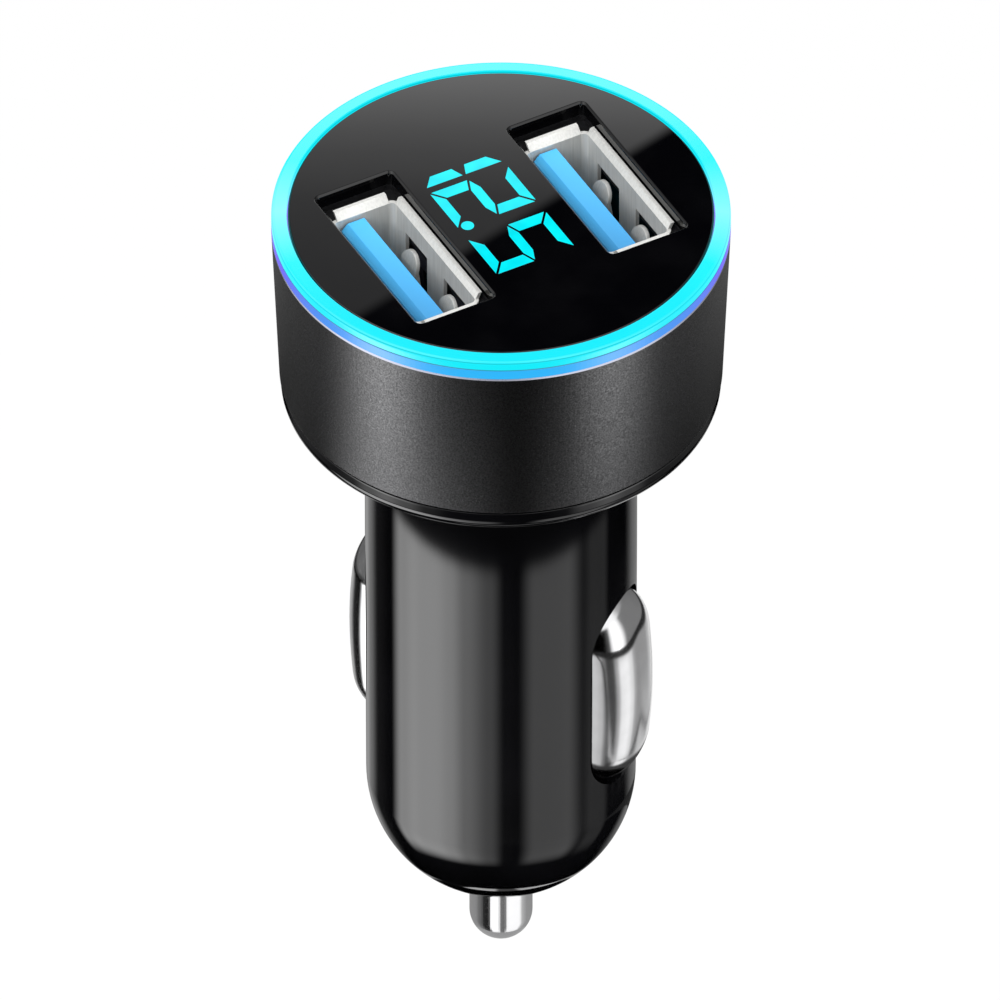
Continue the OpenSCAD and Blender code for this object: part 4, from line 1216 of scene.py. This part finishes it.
def wall_angle(mirrored, piece_r, wall_r):
    """Where a ray that a round piece mirrors in the direction mirrored meets a round wall, in degrees."""
    return mirrored - math.degrees(math.asin(piece_r * math.sin(math.radians(mirrored / 2)) / wall_r))


def shown_if(tree, shown, level):
    """Glows at level where shown is 1, and is clear elsewhere."""
    clear = add(tree, "ShaderNodeBsdfTransparent").outputs[0]
    glow = add(tree, "ShaderNodeEmission", {"Color": level, "Strength": 1.0}).outputs[0]
    mixed = add(tree, "ShaderNodeMixShader", {0: shown, 1: clear, 2: glow}).outputs[0]
    add(tree, "ShaderNodeOutputMaterial", {"Surface": mixed})


def cuff_material():
    made, tree, turn, height = glowing("tip_reflector")
    went = add(tree, "ShaderNodeLightPath").outputs["Ray Length"]
    stops = [(wall_angle(angle, TIP_R, CUFF_R), level) for angle, level in CUFF_STRIPES]
    light = blend(tree, height, *CUFF_FOOT, grey(CUFF_FOOT_LEVEL), levels_round(tree, turn, stops))
    close = add(tree, "ShaderNodeMath", {0: went, 1: CUFF_REACH * MM}, operation="LESS_THAN").outputs[0]
    shown_if(tree, close, light)
    return made


round_wall(
    "tip_reflector", cuff_material(),
    [(NEAR_AXIS, CUFF_LOW), (CUFF_R, CUFF_LOW), (CUFF_R, CUFF_HIGH)],
)

# %% [markdown]
# The second reflector is a screen beside the right side contact. The barrel and the nose would mirror it too,
# so again the length that a ray has gone decides: rays of the barrel have one length at each angle, and those
# of the nose are short for the depth where they end, and the screen is clear for both. The lengths hold for
# the photograph's view, and from other sides a patch of the screen shows on the barrel.

# %% Screen beside the right side contact
SCREEN_R = 20.0
SCREEN_HIGH = -22.0
SCREEN_LOW = -60.0
SCREEN_TURNS = (-25.0, 150.0)
SCREEN_FOOT = (-49.0, -46.0)
SCREEN_FOOT_LEVEL = 0.06
SCREEN_HEAD = (-26.5, -24.5)
SCREEN_HEAD_LEVEL = 0.03
BARREL_RAY_ANGLES = range(-15, 91, 5)
BARREL_RAY_SLACK = 0.35
NOSE_RAY_SLOPE = 1.05
NOSE_RAY_DEPTH = 32.6
SCREEN_STRIPES = [
    (-25, 0.9), (-17, 0.9), (5, 0.95), (18, 0.8), (27, 0.3), (33, 0.08), (41, 0.1), (47, 0.6), (53, 1.4),
    (63, 1.5), (71, 1.2), (78, 0.6), (85, 0.45), (93, 0.45), (100, 0.7), (114, 1.0), (147, 0.9),
]


def barrel_ray(angle):
    """Angle on the screen and length in metres of the ray that the barrel mirrors at an angle of its wall."""
    beside = BARREL_R * math.sin(math.radians(angle))
    across = math.sqrt(SCREEN_R ** 2 - beside ** 2) - BARREL_R * math.cos(math.radians(angle))
    return wall_angle(2 * angle, BARREL_R, SCREEN_R), across / math.cos(VIEW_RISE) * MM


def screen_material():
    made, tree, turn, height = glowing("contact_reflector")
    went = add(tree, "ShaderNodeLightPath").outputs["Ray Length"]
    from_barrel = levels_round(tree, turn, [barrel_ray(angle) for angle in BARREL_RAY_ANGLES], "LINEAR")
    off = add(tree, "ShaderNodeMath", {0: went, 1: from_barrel}, operation="SUBTRACT").outputs[0]
    away = add(tree, "ShaderNodeMath", {0: off}, operation="ABSOLUTE").outputs[0]
    not_barrel = add(
        tree, "ShaderNodeMath", {0: away, 1: BARREL_RAY_SLACK * MM}, operation="GREATER_THAN"
    ).outputs[0]
    nose_ray = add(
        tree, "ShaderNodeMath",
        {0: height, 1: -NOSE_RAY_SLOPE, 2: -NOSE_RAY_SLOPE * NOSE_RAY_DEPTH * MM}, operation="MULTIPLY_ADD",
    ).outputs[0]
    not_nose = add(tree, "ShaderNodeMath", {0: went, 1: nose_ray}, operation="GREATER_THAN").outputs[0]
    shown = add(tree, "ShaderNodeMath", {0: not_barrel, 1: not_nose}, operation="MULTIPLY").outputs[0]
    light = levels_round(tree, turn, SCREEN_STRIPES)
    light = blend(tree, height, *SCREEN_FOOT, grey(SCREEN_FOOT_LEVEL), light)
    light = blend(tree, height, *SCREEN_HEAD, light, grey(SCREEN_HEAD_LEVEL))
    shown_if(tree, shown, light)
    return made


round_wall(
    "contact_reflector", screen_material(),
    [(SCREEN_R, SCREEN_LOW), (SCREEN_R, SCREEN_HIGH)], *SCREEN_TURNS,
)

# %% [markdown]
# The panel is a flat mirror, so all of it shows one small patch of the studio: the corner of a softbox that
# hangs behind the part and fades towards the camera. A card stands there for it. Its own axes are the
# picture's axes, so its edge and its fading are written in millimetres of the picture.

# %% Softbox over the panel
CARD_AWAY = 52.0
CARD_HALF = (26.0, 22.0)
CARD_EDGE_NORMAL = (-0.515, 0.857)
CARD_EDGE_AT = -0.86
CARD_FADE = 1.1
CARD_RISE = [(-12, 0.28), (-2, 0.5), (1.5, 0.62), (4.8, 1.0), (6.5, 1.3), (8.5, 1.8), (10.5, 2.4), (14, 2.8)]


def card_material():
    made = bpy.data.materials.new("panel_softbox")
    made.use_nodes = True
    made.cycles.emission_sampling = "NONE"
    tree = made.node_tree
    tree.nodes.clear()
    place = add(tree, "ShaderNodeTexCoord").outputs["Object"]
    part = add(tree, "ShaderNodeSeparateXYZ", {0: place}).outputs
    low, high = CARD_RISE[0][0], CARD_RISE[-1][0]
    rise = add(
        tree, "ShaderNodeMapRange", {"Value": part["Y"], "From Min": low * MM, "From Max": high * MM}
    ).outputs[0]
    stops = [((at - low) / (high - low), grey(value)) for at, value in CARD_RISE]
    level = add(tree, "ShaderNodeValToRGB", {"Fac": rise}, stops=stops).outputs["Color"]
    across = add(
        tree, "ShaderNodeVectorMath", {0: place, 1: (*CARD_EDGE_NORMAL, 0)}, operation="DOT_PRODUCT"
    ).outputs["Value"]
    inside = add(
        tree, "ShaderNodeMapRange",
        {
            "Value": across, "From Min": (CARD_EDGE_AT - CARD_FADE / 2) * MM,
            "From Max": (CARD_EDGE_AT + CARD_FADE / 2) * MM,
        },
        interpolation_type="SMOOTHSTEP",
    ).outputs[0]
    glow = add(tree, "ShaderNodeEmission", {"Color": level, "Strength": inside})
    add(tree, "ShaderNodeOutputMaterial", {"Surface": glow.outputs[0]})
    return made


def panel_card():
    ray = -toward * math.cos(VIEW_RISE) + Vector((0, 0, math.sin(VIEW_RISE)))
    down = -(toward * math.sin(VIEW_RISE) + Vector((0, 0, math.cos(VIEW_RISE))))
    mesh = bpy.data.meshes.new("panel_softbox")
    half = [value * MM for value in CARD_HALF]
    mesh.from_pydata(
        [(-half[0], -half[1], 0), (half[0], -half[1], 0), (half[0], half[1], 0), (-half[0], half[1], 0)],
        [], [(0, 1, 2, 3)],
    )
    mesh.materials.append(card_material())
    made = new_object("panel_softbox", mesh)
    axes = Matrix((view_right, down, view_right.cross(down))).transposed().to_4x4()
    made.matrix_world = Matrix.Translation(face_centre + ray * CARD_AWAY * MM) @ axes
    only_in_reflections(made)
    print("panel softbox:", [round(2 * value / MM) for value in half], "mm")


panel_card()

# %% [markdown]
# Three large lamps give the even light that plastic and boards need. They are left out of reflections, so
# that gloss and metal show only the tent and its cards.


# %% Lamps
LAMP_AWAY = 0.5
LAMP_SIZE = 0.35


def softbox(name, turn, rise, power):
    """Square lamp that looks at the part from an angle right of the camera and an angle above the horizon."""
    data = bpy.data.lights.new(name, "AREA")
    data.size = LAMP_SIZE
    data.energy = power
    made = bpy.data.objects.new(name, data)
    bpy.context.scene.collection.objects.link(made)
    flat = Matrix.Rotation(math.radians(turn), 3, "Z") @ toward
    back = flat * math.cos(math.radians(rise)) + Vector((0, 0, math.sin(math.radians(rise))))
    made.location = back * LAMP_AWAY
    made.rotation_euler = (-back).to_track_quat("-Z", "Y").to_euler()
    made.visible_camera = False
    made.visible_glossy = False


softbox("key_lamp", -40, 48, 3.0)
softbox("fill_lamp", 65, 30, 1.6)
softbox("top_lamp", 180, 70, 2.0)
print("lamps stand", LAMP_AWAY, "m away")

# %% [markdown]
# The photograph has a white ground and no shadow. The floor lies well below the part, which hangs as if held
# by its barrel. A white background could be had by more light, but that would bleach the part, so floor and
# world are white only to the camera and in mirrors and glass, and give the part a plain level.

# %% Floor and world
FLOOR_Z = -0.32
FLOOR_SIZE = 8.0
FLOOR_WHITE_SHARE = 0.9
SKY_ON_PART = 0.55


def seen_directly(tree):
    """1 on rays that the camera, a mirror or a glass sees, and 0 on others."""
    path = add(tree, "ShaderNodeLightPath").outputs
    either = {0: path["Is Camera Ray"], 1: path["Is Glossy Ray"]}
    both = add(tree, "ShaderNodeMath", either, operation="MAXIMUM").outputs[0]
    every = {0: both, 1: path["Is Transmission Ray"]}
    return add(tree, "ShaderNodeMath", every, operation="MAXIMUM").outputs[0]


def white_floor():
    mesh = bpy.data.meshes.new("floor")
    half = FLOOR_SIZE / 2
    corners = [(-half, -half, 0), (half, -half, 0), (half, half, 0), (-half, half, 0)]
    mesh.from_pydata(corners, [], [(0, 1, 2, 3)])
    material = bpy.data.materials.new("floor_paper")
    material.use_nodes = True
    tree = material.node_tree
    tree.nodes.clear()
    paper = add(tree, "ShaderNodeBsdfDiffuse", {"Color": srgb("f6f6f6")}).outputs[0]
    white = add(tree, "ShaderNodeEmission", {"Color": grey(1.0), "Strength": 1.0}).outputs[0]
    share = add(
        tree, "ShaderNodeMath", {0: seen_directly(tree), 1: FLOOR_WHITE_SHARE}, operation="MULTIPLY"
    ).outputs[0]
    mixed = add(tree, "ShaderNodeMixShader", {0: share, 1: paper, 2: white}).outputs[0]
    add(tree, "ShaderNodeOutputMaterial", {"Surface": mixed})
    mesh.materials.append(material)
    floor = new_object("floor", mesh)
    floor.location = (0, 0, FLOOR_Z)


white_floor()

world = bpy.data.worlds.new("studio")
bpy.context.scene.world = world
world.use_nodes = True
world.node_tree.nodes.clear()
sky_tree = world.node_tree
strength = add(
    sky_tree, "ShaderNodeMapRange", {"Value": seen_directly(sky_tree), "To Min": SKY_ON_PART, "To Max": 1.0}
).outputs[0]
sky = add(sky_tree, "ShaderNodeBackground", {"Color": grey(1.0), "Strength": strength}).outputs[0]
add(sky_tree, "ShaderNodeOutputWorld", {"Surface": sky})
bpy.context.scene.view_settings.view_transform = "Standard"
print("floor at", FLOOR_Z, "m, and the sky lights the part at", SKY_ON_PART)
